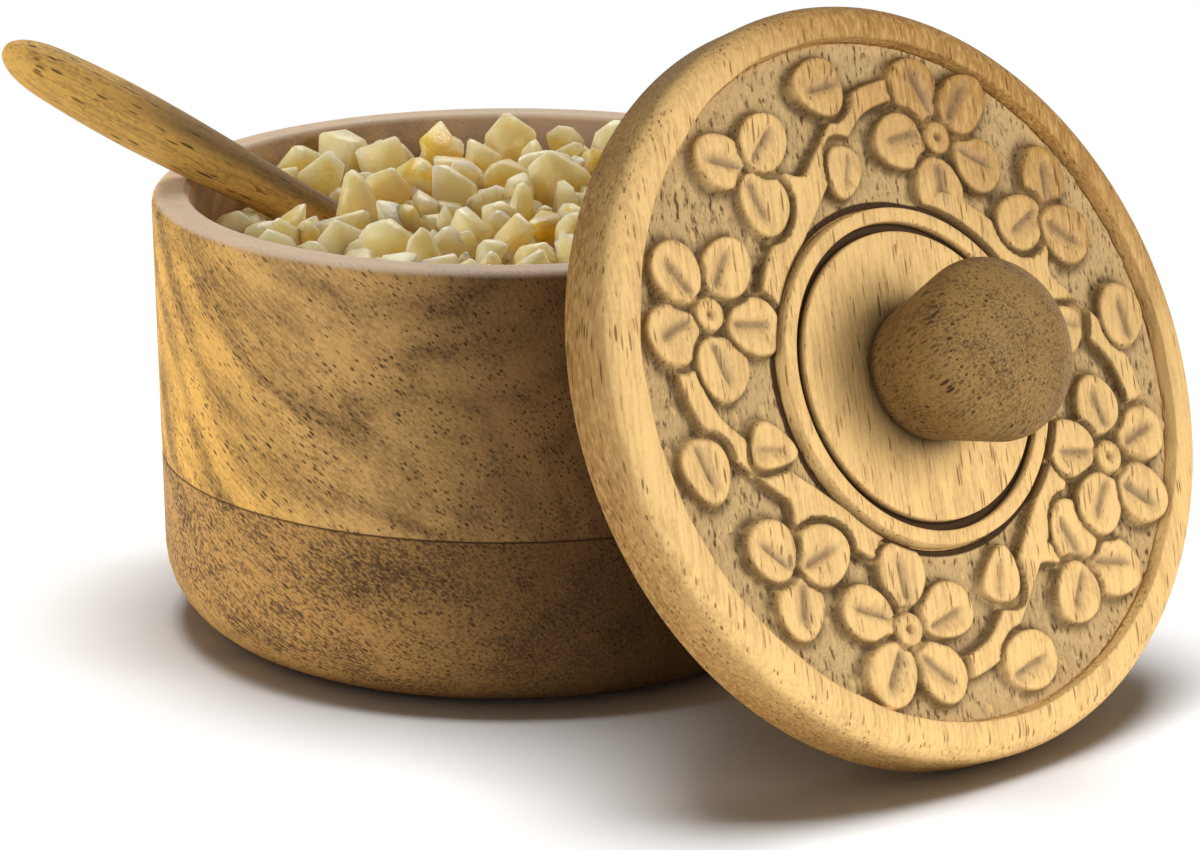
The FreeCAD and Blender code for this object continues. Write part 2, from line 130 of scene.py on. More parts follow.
class PotSettings(bpy.types.PropertyGroup):
    """Sizes of the turned pot that its packed box doesn't tell."""

    taper: length("Taper", "Pot narrower at the table than at the rim", 1.0)
    wall: length("Wall", "Wall of the pot at the rim", 5.8)
    floor: length("Floor", "Wood under the salt", 11.0)
    foot_round: length("Foot round", "Rounding from the side to the foot", 14.0)
    floor_round: length("Floor round", "Cove between floor and inner wall", 7.0)
    rim_round: length("Rim round", "Outer edge of the rim", 1.8)
    mouth_round: length("Mouth round", "Inner edge of the rim", 1.0)
    seam_round: length("Seam round", "Broken edges along the glue seam", 0.2)
    spokes: count("Spokes", "Mesh steps round the pot", 256, 32)


class LidSettings(bpy.types.PropertyGroup):
    """Sizes of the carved lid, in the lid's own plane."""

    thickness: length("Thickness", "Flange from back to face", 11.4)
    plug_radius: length("Plug radius", "Plug that drops into the pot's mouth", 48.8)
    border: length("Border", "Plain border round the carved field", 5.5)
    face_round: length("Face round", "Rounding of the border's outer edge", 3.6)
    back_round: length("Back round", "Rounding of the flange's lower edge", 1.5)
    plug_round: length("Plug round", "Rounding of the plug's lower edge", 1.0)
    medallion: length("Medallion", "Radius of the plain middle", 21.6)
    groove_width: length("Groove width", "Turned groove round the middle", 1.5)
    groove_depth: length("Groove depth", "Turned groove below the face", 1.8)
    ring_width: length("Ring width", "Turned ring between groove and field", 2.1)
    field_depth: length("Field depth", "Carved field below the face", 3.2)
    petal_length: length("Petal length", "Long way over a petal", 10.3)
    petal_width: length("Petal width", "Short way over a petal", 9.3)
    petal_crease: length("Petal crease", "Depth of the gouge cut in each petal", 1.1)
    vine_width: length("Vine width", "Carved stem at its root", 5.4)
    chisel: length("Chisel marks", "Depth of the tool marks on the field", 0.42)
    wander: length("Wander", "Unsteadiness of the hand-cut border", 0.35)
    spokes: count("Spokes", "Mesh steps round the lid", 620, 64)
    seed: count("Seed", "Chance in the hand carving", 5)


class KnobSettings(bpy.types.PropertyGroup):
    """Sizes of the turned knob."""

    foot_radius: length("Foot radius", "Knob where it meets the lid", 9.7)
    radius: length("Radius", "Knob at its shoulder, before rounding", 14.2)
    shoulder: length("Shoulder", "Lid face to the shoulder", 17.6)
    crown: length("Crown", "Shoulder to the top", 5.8)
    crown_edge: length("Crown edge", "Radius at which the crown turns down", 7.597)
    shoulder_round: length("Shoulder round", "Rounding of the shoulder", 6.2)
    crown_round: length("Crown round", "Rounding of the crown's edge", 9.94)
    tenon_radius: length("Tenon radius", "Glued tenon", 5.0)
    tenon_length: length("Tenon length", "Glued tenon", 11.0)
    spokes: count("Spokes", "Mesh steps round the knob", 128, 32)


class SaltSettings(bpy.types.PropertyGroup):
    """Loose crystals on top of the salt."""

    heap: length("Heap", "Salt higher in the middle than at the wall", 1.4)
    slope: FloatProperty(name="Slope", description="Rise of the salt towards the back", default=0.03)
    layer: length("Layer", "Height from one layer of crystals to the next", 2.4)
    spacing: length("Spacing", "Least distance between crystals in the lowest layer", 3.3)
    smallest: length("Smallest", "Half length of the smallest crystal", 1.7)
    largest: length("Largest", "Half length of the largest crystal in the lowest layer", 3.8)
    growth: FloatProperty(name="Growth", description="Larger crystals from layer to layer", default=0.5)
    spoon_room: length("Spoon room", "Crystal centres stay this far from the spoon", 3.4)
    shapes: count("Shapes", "Different crystals in the heap", 10)
    seed: count("Seed", "Chance in the heap", 3)


class FinishSettings(bpy.types.PropertyGroup):
    """Colours of the woods and the salt."""

    upper_light: colour("Upper board", "Pale wood of the pot's upper board", 0.72, 0.40, 0.085)
    upper_dark: colour("Upper board figure", "Dark wood of the pot's upper board", 0.095, 0.048, 0.018)
    # Tan and heartwood across the boards are partly painted shade: darker to the right, where the light falls
    # off and the lid shades the pot.
    upper_tan_and_shade: colour("Upper middle", "Tan wood in the middle of the upper board", 0.51, 0.30, 0.10)
    upper_heart_and_shade: colour("Heartwood", "Brown wood on the right of the upper board", 0.17, 0.082, 0.03)
    lower_light: colour("Lower board", "Pale wood of the pot's lower board", 0.48, 0.26, 0.075)
    lower_dark: colour("Lower board figure", "Dark wood of the pot's lower board", 0.085, 0.045, 0.017)
    # Partly painted shade: darker to the right, where the lid shades the pot.
    lower_heart_and_shade: colour("Lower heartwood", "Brown wood on the right of the lower board", 0.15, 0.076, 0.025)
    rim: colour("Rim", "Sanded top of the rim", 0.55, 0.42, 0.30)
    lid_light: colour("Lid", "Pale wood of the lid", 0.75, 0.49, 0.195)
    lid_dark: colour("Lid figure", "Dark wood of the lid", 0.40, 0.225, 0.088)
    lid_pore: colour("Lid pores", "Fine lines in the lid", 0.22, 0.11, 0.036)
    # Painted shade on the lid's rounded edge and its upper right.
    lid_edge_shade: colour("Lid edges", "What darkens the lid at its edge and at its upper right", 0.50, 0.40, 0.27)
    carved_floor: colour("Carved floor", "Rough wood between the carved stems", 0.57, 0.385, 0.175)
    torn: colour("Torn fibres", "Gaps between the torn fibres of the carved floor", 0.11, 0.06, 0.024)
    # Painted sheen and shade in the gouge hollows.
    hollow: colour("Gouge cuts", "Smooth hollows cut in the petals", 0.34, 0.24, 0.15)
    # Dark stain on the glue seam and in the grooves, and painted shade in the carving's corners, on its walls
    # and at the knob's foot.
    stain: colour("Stain", "Dark stain in the carving's corners", 0.045, 0.022, 0.008)
    knob_light: colour("Knob", "Pale wood of the knob", 0.29, 0.165, 0.054)
    # Also the painted shade on the knob's lower side.
    knob_dark_and_shade: colour("Knob figure", "Dark wood of the knob", 0.055, 0.03, 0.012)
    spoon_light: colour("Spoon", "Pale wood of the spoon", 0.60, 0.35, 0.085)
    spoon_dark: colour("Spoon streaks", "Dark wood of the spoon", 0.14, 0.085, 0.04)
    pore: colour("Pores", "Dark pores and flecks in the wood", 0.045, 0.022, 0.008)
    salt_pale: colour("Salt", "Clear pale crystals", 0.99, 0.79, 0.38)
    salt_smoky: colour("Smoky salt", "Crystals with a brown tinge", 0.96, 0.63, 0.22)
    salt_amber: colour("Amber salt", "Crystals with much colour", 0.97, 0.54, 0.05)


class StageSettings(bpy.types.PropertyGroup):
    """Camera, lamps and floor."""

    eye: FloatVectorProperty(
        name="Eye", description="Place of the camera",
        subtype="TRANSLATION", size=3, default=(0.0231, -0.71838, 0.24369))
    pitch: angle("Pitch", "Camera's tilt up from the level", -16.51)
    yaw: angle("Yaw", "Camera's turn to the right of +Y", -0.67)
    lens: FloatProperty(
        name="Lens", description="Focal length in millimetres", default=141.85, unit="CAMERA")
    right_power: power("Right lamp", "Softbox on the right", 8.0)
    left_power: power("Left lamp", "Softbox on the left", 7.5)
    back_power: power("Back lamp", "Softbox high behind", 6.2)
    lid_power: power("Lid lamp", "Softbox on the right for the lid and knob alone", 7.0)
    lid_fill: power("Lid fill", "Softbox in front for the lid and knob alone", 4.2)
    floor_power: power("Floor lamp", "Softbox overhead for the floor alone", 13.0)
    sky: FloatProperty(name="Sky", description="Even light from all round", default=0.1)


# Node helpers

def plug(tree, socket, value):
    """Link an output to a socket, or set the socket, with a plain colour made opaque."""
    if isinstance(value, bpy.types.NodeSocket):
        tree.links.new(value, socket)
    else:
        socket.default_value = (*value, 1.0) if isinstance(value, Color) else value


def add(tree, kind, inputs=None, **attributes):
    """New node with its attributes and inputs, whose keys are socket names or numbers."""
    node = tree.nodes.new(kind)
    for key, value in attributes.items():
        setattr(node, key, value)
    for key, value in (inputs or {}).items():
        plug(tree, node.inputs[key], value)
    return node


def new_tree(name, kind, inputs, outputs):
    """Node tree with sockets of these names and kinds. Returns it and the values that it is given."""
    tree = bpy.data.node_groups.new(name, kind)
    for direction, sockets in (("INPUT", inputs), ("OUTPUT", outputs)):
        for socket, socket_kind in sockets.items():
            tree.interface.new_socket(socket, in_out=direction, socket_type=f"NodeSocket{socket_kind}")
    return tree, add(tree, "NodeGroupInput").outputs


def math_of(tree, operation, *values):
    """Output of a Math node."""
    return add(tree, "ShaderNodeMath", dict(enumerate(values)), operation=operation).outputs[0]


def times(tree, first, second):
    """Product of two numbers."""
    return math_of(tree, "MULTIPLY", first, second)


def vector_of(tree, operation, *values, output=0):
    """Output of a Vector Math node, which is its Value for a length or a dot product."""
    node = add(tree, "ShaderNodeVectorMath", dict(enumerate(values)), operation=operation)
    return node.outputs[output]


def axes_of(tree, vector):
    """X, Y and Z of a vector."""
    return add(tree, "ShaderNodeSeparateXYZ", {0: vector}).outputs


def ramp_of(tree, value, low, high):
    """0 at low and 1 at high, whichever is larger, with a soft step between."""
    inputs = {"Value": value, "From Min": low, "From Max": high}
    return add(tree, "ShaderNodeMapRange", inputs, interpolation_type="SMOOTHSTEP").outputs[0]


def noise_of(tree, vector, scale, detail, roughness=0.5):
    """Cloudy value between 0 and 1."""
    inputs = {"Vector": vector, "Scale": scale, "Detail": detail, "Roughness": roughness}
    return add(tree, "ShaderNodeTexNoise", inputs).outputs[0]


def bump_of(tree, height, strength, distance):
    """Bump node on a height."""
    return add(tree, "ShaderNodeBump", {"Height": height, "Strength": strength, "Distance": distance})


def attribute_of(tree, name):
    """Value that the mesh keeps under a name."""
    return add(tree, "ShaderNodeAttribute", attribute_name=name).outputs["Fac"]


def place_of(tree):
    """Object coordinates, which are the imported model's own."""
    return add(tree, "ShaderNodeTexCoord").outputs["Object"]


def blend_of(tree, share, first, second):
    """Colour between two colours."""
    node = add(tree, "ShaderNodeMix", data_type="RGBA")
    colours = [socket for socket in node.inputs if socket.type == "RGBA"]
    plug(tree, node.inputs[0], share)
    plug(tree, colours[0], first)
    plug(tree, colours[1], second)
    return next(socket for socket in node.outputs if socket.type == "RGBA")


def tinted(tree, colour, value, band, amount, other):
    """Colour that turns to another by an amount, over a band from its first to its last value."""
    return blend_of(tree, times(tree, ramp_of(tree, value, *band), amount), colour, other)


# Wood figure: each wood's numbers in the order of their names, with sizes in millimetres

FIGURE_COLOURS = ("Light", "Dark", "Pore")
FIGURE_NUMBERS = (
    "Ring Size", "Ring Amount", "Cloud Size", "Cloud Amount", "Mottle Size", "Mottle Amount",
    "Streak Amount", "Pore Size", "Pore Length", "Pore Share")
FIGURES = {
    "upper board": (6.5, 0.34, 9.0, 0.46, 0.36, 0.28, 0.3, 0.52, 3.4, 1.0),
    "lower board": (9.0, 0.3, 10.0, 0.56, 0.36, 0.85, 0.5, 0.56, 4.0, 1.4),
    "lid wood": (6.5, 0.16, 9.0, 0.22, 0.45, 0.2, 0.5, 0.52, 10.0, 0.75),
    "knob wood": (8.0, 0.18, 8.0, 0.3, 0.3, 0.6, 0.4, 0.65, 5.0, 1.0),
    "spoon wood": (7.0, 0.22, 5.0, 0.26, 0.45, 0.35, 0.4, 0.6, 6.5, 0.6),
}
RING_BEND = 26.0
RING_BEND_WIDTH = 22.0
RING_SHARPNESS = 1.6
STREAK_WIDTH = 0.5
PORE_PATCH = 7.0


def wood_group():
    """Shader group for all the woods, in millimetres: Z runs along the fibres, X across the rings."""
    inputs = {"Vector": "Vector"}
    inputs.update(dict.fromkeys(FIGURE_COLOURS, "Color"))
    inputs.update(dict.fromkeys(FIGURE_NUMBERS, "Float"))
    tree, given = new_tree("wood figure", "ShaderNodeTree", inputs, {"Color": "Color", "Height": "Float"})

    def stretched(length):
        """Vector pressed together along the fibres, so that a pattern on it gets this many times longer."""
        way = add(tree, "ShaderNodeCombineXYZ", {0: 1.0, 1: 1.0, 2: math_of(tree, "DIVIDE", 1.0, length)})
        return vector_of(tree, "MULTIPLY", given["Vector"], way.outputs[0])

    def cloud(length, width, detail, roughness=0.5):
        """Noise with features about this wide and so many times longer."""
        return noise_of(tree, stretched(length), math_of(tree, "DIVIDE", 1.0, width), detail, roughness)

    def swing(value, amount):
        """Value moved to swing about zero, times an amount."""
        return times(tree, math_of(tree, "SUBTRACT", value, 0.5), amount)

    def total(*values):
        """Sum of all the values."""
        result = values[0]
        for value in values[1:]:
            result = math_of(tree, "ADD", result, value)
        return result

    blot = ramp_of(tree, cloud(2.5, given["Cloud Size"], detail=6.0, roughness=0.68), low=0.36, high=0.66)
    bend = swing(cloud(6.0, RING_BEND_WIDTH, detail=2.0), RING_BEND)
    bent = math_of(tree, "ADD", axes_of(tree, given["Vector"])["X"], bend)
    turns = math_of(tree, "DIVIDE", bent, given["Ring Size"])
    wave = math_of(tree, "SINE", times(tree, turns, math.tau))
    rings = math_of(tree, "POWER", math_of(tree, "MULTIPLY_ADD", wave, 0.5, 0.5), RING_SHARPNESS)
    streak = ramp_of(tree, cloud(28.0, STREAK_WIDTH, detail=2.0), low=0.3, high=0.72)
    mottle = ramp_of(tree, cloud(2.2, given["Mottle Size"], detail=1.5), low=0.32, high=0.68)
    figure = total(
        times(tree, blot, given["Cloud Amount"]), times(tree, rings, given["Ring Amount"]),
        swing(streak, given["Streak Amount"]), swing(mottle, given["Mottle Amount"]))
    figure = math_of(tree, "MAXIMUM", math_of(tree, "MINIMUM", figure, 1.0), 0.0)
    plain = blend_of(tree, figure, given["Light"], given["Dark"])

    cells = add(tree, "ShaderNodeTexVoronoi", {
        "Vector": stretched(given["Pore Length"]), "Scale": math_of(tree, "DIVIDE", 1.0, given["Pore Size"])})
    crowd = ramp_of(tree, cloud(2.5, PORE_PATCH, detail=4.0, roughness=0.6), low=0.34, high=0.64)
    chance = add(tree, "ShaderNodeSeparateColor", {0: cells.outputs["Color"]}).outputs
    room = math_of(tree, "SUBTRACT", times(tree, crowd, given["Pore Share"]), chance[0])
    wide = math_of(tree, "MULTIPLY_ADD", chance[1], 0.3, 0.16)
    spot = ramp_of(tree, math_of(tree, "SUBTRACT", wide, cells.outputs["Distance"]), low=-0.06, high=0.14)
    pores = times(tree, spot, ramp_of(tree, room, low=-0.04, high=0.04))
    shade = times(tree, pores, math_of(tree, "MULTIPLY_ADD", chance[2], 0.45, 0.5))
    height = total(times(tree, streak, 0.25), times(tree, mottle, -0.15), times(tree, pores, -0.8))
    add(tree, "NodeGroupOutput", {"Color": blend_of(tree, shade, plain, given["Pore"]), "Height": height})
    return tree


# Finishes

WOOD_ROUGHNESS = 0.6
KNOB_ROUGHNESS = 0.55
WOOD_GLOSS = 0.1
PORE_BUMP = {"strength": 0.4, "distance": 0.25 * MM}


def new_material(name):
    """Material with its tree and its plain Principled BSDF."""
    material = bpy.data.materials.new(name)
    material.use_nodes = True
    tree = material.node_tree
    return material, tree, tree.nodes["Principled BSDF"]


def grain_vector(tree, fibre, ring, offset=(0, 0, 0)):
    """Place in millimetres with Z along the fibres and X across the rings."""
    along = Vector(fibre).normalized()
    aside = along.cross(Vector(ring)).normalized()
    turn = Matrix((aside.cross(along), aside, along)).to_euler()
    turned = add(tree, "ShaderNodeMapping", {"Vector": place_of(tree), "Rotation": turn, "Location": offset})
    return vector_of(tree, "MULTIPLY", turned.outputs[0], (1 / MM, 1 / MM, 1 / MM))


def wood(name, fibre, ring, colours, roughness=WOOD_ROUGHNESS, offset=(0, 0, 0)):
    """Wood finish with its own figure. Returns the material, its tree, its shader and its figure node."""
    material, tree, shader = new_material(name)
    inputs = dict(zip(FIGURE_NUMBERS, FIGURES[name]), **colours)
    inputs["Vector"] = grain_vector(tree, fibre, ring, offset)
    group = bpy.data.node_groups.get("wood figure") or wood_group()
    figure = add(tree, "ShaderNodeGroup", inputs, node_tree=group)
    relief = bump_of(tree, figure.outputs["Height"], **PORE_BUMP)
    plug(tree, shader.inputs["Normal"], relief.outputs[0])
    shader.inputs["Roughness"].default_value = roughness
    shader.inputs["Specular IOR Level"].default_value = WOOD_GLOSS
    return material, tree, shader, figure


# Pot: ways in the wood, and bands across which its colour changes, the heartwood's in millimetres; the tan
# and heartwood bands are partly painted shade, darker to the right where the light falls off and the lid
# shades the pot

UPPER_FIBRE = (0.62, -0.58, -0.53)
LOWER_FIBRE = (0.66, -0.60, -0.45)
POT_RING = (0.72, 0.1, -0.69)
LOWER_OFFSET = (0.31, 0.12, 0.05)
# Tan and heartwood bands: partly painted shade, darker to the right.
TAN_AND_SHADE_BAND = (-46, -8)
HEART_AND_SHADE_BAND = (-16, 34)
LOWER_HEART_AND_SHADE_BAND = (-50, 26)
HEART_AND_SHADE_RISE = 0.25
RIM_BAND = (POT_RIM - 1.0 * MM, POT_RIM - 0.25 * MM)
RIM_SHARE = 0.8
MOUTH_BAND = (51.5 * MM, 50.0 * MM)
MOUTH_SHARE = 0.5
GLUE_BAND = (0.35 * MM, 0.05 * MM)
GLUE_SHARE = 0.7


def heart_and_shade_share(tree, band):
    """Share of heartwood and painted shade, which grows to the right and a little upwards."""
    place = axes_of(tree, place_of(tree))
    low, high = (end * MM for end in band)
    return ramp_of(tree, math_of(tree, "MULTIPLY_ADD", place["Z"], HEART_AND_SHADE_RISE, place["X"]), low, high)


def glued(tree, colour, side, finish):
    """Colour with the dark glue along the seam, on the board above it (1) or below it (-1)."""
    band = [POT_SEAM + side * reach for reach in GLUE_BAND]
    return tinted(tree, colour, axes_of(tree, place_of(tree))["Z"], band, GLUE_SHARE, finish.stain)


def upper_board(finish):
    """Upper board of the pot: specked and golden on the left, brown on the right partly as painted shade,
    with a sanded rim.
    """
    colours = {"Dark": finish.upper_dark, "Pore": finish.pore}
    material, tree, shader, figure = wood("upper board", UPPER_FIBRE, POT_RING, colours)
    # Tan and heartwood to the right, partly painted shade of the lid and of the light falling off.
    light = blend_of(tree, heart_and_shade_share(tree, TAN_AND_SHADE_BAND), finish.upper_light, finish.upper_tan_and_shade)
    light = blend_of(tree, heart_and_shade_share(tree, HEART_AND_SHADE_BAND), light, finish.upper_heart_and_shade)
    plug(tree, figure.inputs["Light"], light)
    place = place_of(tree)
    colour = tinted(tree, figure.outputs["Color"], axes_of(tree, place)["Z"], RIM_BAND, RIM_SHARE, finish.rim)
    way_out = vector_of(tree, "LENGTH", vector_of(tree, "MULTIPLY", place, (1, 1, 0)), output="Value")
    colour = tinted(tree, colour, way_out, MOUTH_BAND, MOUTH_SHARE, finish.rim)
    plug(tree, shader.inputs["Base Color"], glued(tree, colour, 1, finish))
    return material


def lower_board(finish):
    """Lower board of the pot: darker and thick with flecks, brown on the right partly as painted shade."""
    colours = {"Dark": finish.lower_dark, "Pore": finish.pore}
    material, tree, shader, figure = wood("lower board", LOWER_FIBRE, POT_RING, colours, offset=LOWER_OFFSET)
    # Heartwood to the right, partly painted shade.
    light = blend_of(tree, heart_and_shade_share(tree, LOWER_HEART_AND_SHADE_BAND), finish.lower_light, finish.lower_heart_and_shade)
    plug(tree, figure.inputs["Light"], light)
    plug(tree, shader.inputs["Base Color"], glued(tree, figure.outputs["Color"], -1, finish))
    return material


# Lid and knob: ways in the lid's own plane, and bands along its face or above it

LID_TILT = math.radians(12)
LID_FIBRE = (math.sin(LID_TILT), math.cos(LID_TILT), 0.06)
LID_RING = (1.0, 0.0, 0.35)
# Bands of painted shade on the lid's upper right and its rounded edge.
LID_SHADED_WAY = (0.6, 0.8, 0.0)
LID_SHADED_BAND = (18 * MM, 52 * MM)
LID_EDGE_SHADE_BAND = (LID["radius"] - 0.8 * MM, LID["radius"] + 0.7 * MM)
TORN_SIZE = (1.5, 1.5, 0.5)
TORN_BUMP = {"strength": 0.9, "distance": 1.1 * MM}
KNOB_FIBRE = (0.08, 0.16, 1)
KNOB_RING = (1, 0.4, 0)
# Painted shade on the knob's lower side; at its foot a dark band, partly a burn line, partly painted contact
# shade.
KNOB_SHADE_BAND = (16 * MM, 5 * MM)
KNOB_SHADE = 0.3
KNOB_FOOT_BAND = (2.6 * MM, 0.2 * MM)
KNOB_FOOT_SHADE = 0.85


def lid_painted_shade(tree, torn, finish):
    """Painted shade that darkens the lid at its rounded edge and towards its upper right, broken up by torn
    fibres.
    """
    away = vector_of(tree, "SUBTRACT", place_of(tree), LID["centre"])
    way_out = vector_of(tree, "LENGTH", away, output="Value")
    rise = vector_of(tree, "DOT_PRODUCT", away, LID["turn"] @ Vector(LID_SHADED_WAY), output="Value")
    edge = ramp_of(tree, way_out, *LID_EDGE_SHADE_BAND)
    edge = math_of(tree, "MAXIMUM", edge, ramp_of(tree, rise, *LID_SHADED_BAND))
    broken = math_of(tree, "MULTIPLY_ADD", ramp_of(tree, torn, low=0.3, high=0.6), 0.4, 0.6)
    return blend_of(tree, times(tree, edge, broken), Color((1, 1, 1)), finish.lid_edge_shade)


def lid_wood(finish):
    """Wood of the lid, rough on the carved floor, with painted shade at its edge, in its corners and on its
    carved walls, partly real stain in the corners and dark stain in its grooves, and a painted sheen and
    shade in the gouge hollows.
    """
    fibre, ring = (LID["turn"] @ Vector(way) for way in (LID_FIBRE, LID_RING))
    colours = {"Light": finish.lid_light, "Dark": finish.lid_dark, "Pore": finish.lid_pore}
    material, tree, shader, figure = wood("lid wood", fibre, ring, colours)
    thread = vector_of(tree, "MULTIPLY", grain_vector(tree, fibre, ring), TORN_SIZE)
    torn = noise_of(tree, thread, scale=1.0, detail=3.0)
    rough = blend_of(tree, ramp_of(tree, torn, low=0.28, high=0.47), finish.torn, finish.carved_floor)
    # Painted shade at the lid's edge and upper right.
    colour = vector_of(tree, "MULTIPLY", figure.outputs["Color"], lid_painted_shade(tree, torn, finish))
    # Rough floor, painted sheen and shade in the gouge hollows, and painted shade and stain in corners, on
    # walls and in grooves.
    for name, over in {"cut": rough, "hollow": finish.hollow, "stain": finish.stain}.items():
        colour = blend_of(tree, attribute_of(tree, name), colour, over)
    plug(tree, shader.inputs["Base Color"], colour)
    relief = bump_of(tree, times(tree, torn, attribute_of(tree, "cut")), **TORN_BUMP)
    plug(tree, relief.inputs["Normal"], shader.inputs["Normal"].links[0].from_socket)
    plug(tree, shader.inputs["Normal"], relief.outputs[0])
    return material


def knob_wood(finish):
    """Turned knob: fine specks on its crown, short dashes along its side, painted shade on its lower side,
    and dark at its foot, partly a burn line and partly painted contact shade.
    """
    fibre, ring = (LID["turn"] @ Vector(way) for way in (KNOB_FIBRE, KNOB_RING))
    colours = {"Light": finish.knob_light, "Dark": finish.knob_dark_and_shade, "Pore": finish.pore}
    material, tree, shader, figure = wood("knob wood", fibre, ring, colours, roughness=KNOB_ROUGHNESS)
    away = vector_of(tree, "SUBTRACT", place_of(tree), LID["centre"])
    above = vector_of(tree, "DOT_PRODUCT", away, LID_OUT, output="Value")
    # Painted shade on the lower side, then the dark foot band.
    colour = tinted(tree, figure.outputs["Color"], above, KNOB_SHADE_BAND, KNOB_SHADE, finish.knob_dark_and_shade)
    colour = tinted(tree, colour, above, KNOB_FOOT_BAND, KNOB_FOOT_SHADE, finish.stain)
    plug(tree, shader.inputs["Base Color"], colour)
    return material


# Spoon: the way of its handle, the way out of its upper side, and where it crosses the rim

SPOON_WAY = Vector((-0.858, -0.100, 0.503))
SPOON_UP = Vector((0.4995, 0.0582, 0.8643))
SPOON_REST = Vector((-0.04752, 0.00244, 0.07391))
SPOON_RING = (0.1, -0.99, 0)
SPOON_EDGE_ALONG = (22 * MM, 2 * MM)
SPOON_EDGE_ABOVE = (0.6 * MM, 3.2 * MM)
SPOON_EDGE_SHARE = 0.75


def spoon_wood(finish):
    """Spoon: streaks along the handle, with a dark upper edge near the salt."""
    colours = {"Light": finish.spoon_light, "Dark": finish.spoon_dark, "Pore": finish.pore}
    material, tree, shader, figure = wood("spoon wood", SPOON_WAY, SPOON_RING, colours)
    away = vector_of(tree, "SUBTRACT", place_of(tree), SPOON_REST)
    along, above = (
        vector_of(tree, "DOT_PRODUCT", away, way, output="Value") for way in (SPOON_WAY, SPOON_UP))
    share = times(tree, ramp_of(tree, along, *SPOON_EDGE_ALONG), SPOON_EDGE_SHARE)
    edge = times(tree, share, ramp_of(tree, above, *SPOON_EDGE_ABOVE))
    plug(tree, shader.inputs["Base Color"], blend_of(tree, edge, figure.outputs["Color"], finish.spoon_dark))
    return material


SALT_LEAST_TONE = 0.35
SALT_BUMP = {"strength": 0.6, "distance": 0.9 * MM}
SALT_SHADER = {
    "Roughness": 0.36, "IOR": 1.35, "Transmission Weight": 0.4, "Subsurface Weight": 1.0,
    "Subsurface Radius": (1.0, 0.95, 0.85), "Subsurface Scale": 9.0 * MM}


def salt_crystal(finish):
    """Pale crystals that let light through, each with its own tone."""
    material, tree, shader = new_material("salt crystal")
    cloud = noise_of(tree, place_of(tree), scale=260.0, detail=5.0, roughness=0.6)
    tone = math_of(tree, "MAXIMUM", attribute_of(tree, "tone"), SALT_LEAST_TONE)
    share = math_of(tree, "ADD", tone, math_of(tree, "MULTIPLY_ADD", cloud, 0.9, -0.45))
    colour = blend_of(tree, ramp_of(tree, share, low=0.6, high=0.1), finish.salt_pale, finish.salt_smoky)
    colour = blend_of(tree, ramp_of(tree, share, low=0.84, high=1.0), colour, finish.salt_amber)
    plug(tree, shader.inputs["Base Color"], colour)
    plug(tree, shader.inputs["Normal"], bump_of(tree, cloud, **SALT_BUMP).outputs[0])
    for key, value in SALT_SHADER.items():
        shader.inputs[key].default_value = value
    return material


# Turned pieces, with edges sharp beyond an angle in degrees

TURNED_SHARP = 40
SPOON_SHARP = 35


def lathe(rows, spokes):
    """Points, faces and row starts of a turned solid, with one point where a row is on the axis."""
    angles = np.linspace(0, math.tau, spokes, endpoint=False)
    around = np.column_stack((np.cos(angles), np.sin(angles)))
    points, starts, count = [], [], 0
    for radius, height in rows:
        starts.append(count)
        ring = around * radius if radius else np.zeros((1, 2))
        points.append(np.column_stack((ring, np.full(len(ring), height))))
        count += len(ring)
    faces = []
    for index in range(len(rows) - 1):
        here, there = starts[index], starts[index + 1]
        for spoke in range(spokes):
            following = (spoke + 1) % spokes
            if rows[index][0] == 0:
                faces.append((here, there + spoke, there + following))
            elif rows[index + 1][0] == 0:
                faces.append((here + spoke, there, here + following))
            else:
                faces.append((here + spoke, there + spoke, there + following, here + following))
    return np.vstack(points), faces, starts


def ring_faces(starts, spokes):
    """Faces that close a turned ring from its last row to its first."""
    last = starts[-1]
    return [
        (last + spoke, spoke, (spoke + 1) % spokes, last + (spoke + 1) % spokes) for spoke in range(spokes)]


def new_piece(name, points, faces, material, sharp=None):
    """Smooth mesh object at the origin, with its edges sharp beyond an angle where one is given."""
    mesh = bpy.data.meshes.new(name)
    mesh.from_pydata([tuple(point) for point in points], [], faces)
    mesh.materials.append(material)
    mesh.polygons.foreach_set("use_smooth", np.ones(len(mesh.polygons), bool))
    if sharp:
        mesh.set_sharp_from_angle(angle=math.radians(sharp))
    mesh.update()
    piece = bpy.data.objects.new(name, mesh)
    bpy.context.scene.collection.objects.link(piece)
    return piece


def dress(piece, body, node):
    """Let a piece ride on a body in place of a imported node."""
    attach(piece, body)
    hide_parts(node)


def rounded_rows(corners, steps=8):
    """Rows through (radius, height, rounding) corners of a half profile."""
    rows = [corners[0][:2]]
    for before, corner, after in zip(corners, corners[1:], corners[2:]):
        middle, rounding = Vector(corner[:2]), corner[2]
        if not rounding:
            rows.append(corner[:2])
            continue
        first = (Vector(before[:2]) - middle).normalized()
        second = (Vector(after[:2]) - middle).normalized()
        half = first.angle(second) / 2
        centre = middle + (first + second).normalized() * (rounding / math.sin(half))
        start = middle + first * (rounding / math.tan(half)) - centre
        sweep = start.angle_signed(middle + second * (rounding / math.tan(half)) - centre)
        for step in range(steps + 1):
            rows.append(tuple(centre + Matrix.Rotation(-sweep * step / steps, 2) @ start))
    rows.append(corners[-1][:2])
    return rows


def base_rows(settings):
    """Half profile of the lower board, from its floor over the seam to under the foot."""
    mouth = POT_RADIUS - settings.wall
    seam = POT_RADIUS - settings.taper * (1 - POT_SEAM / POT_RIM)
    return rounded_rows((
        (0.0, settings.floor, 0), (mouth, settings.floor, settings.floor_round), (mouth, POT_SEAM, 0),
        (seam, POT_SEAM, settings.seam_round), (POT_RADIUS - settings.taper, 0.0, settings.foot_round),
        (0.0, 0.0, 0)))


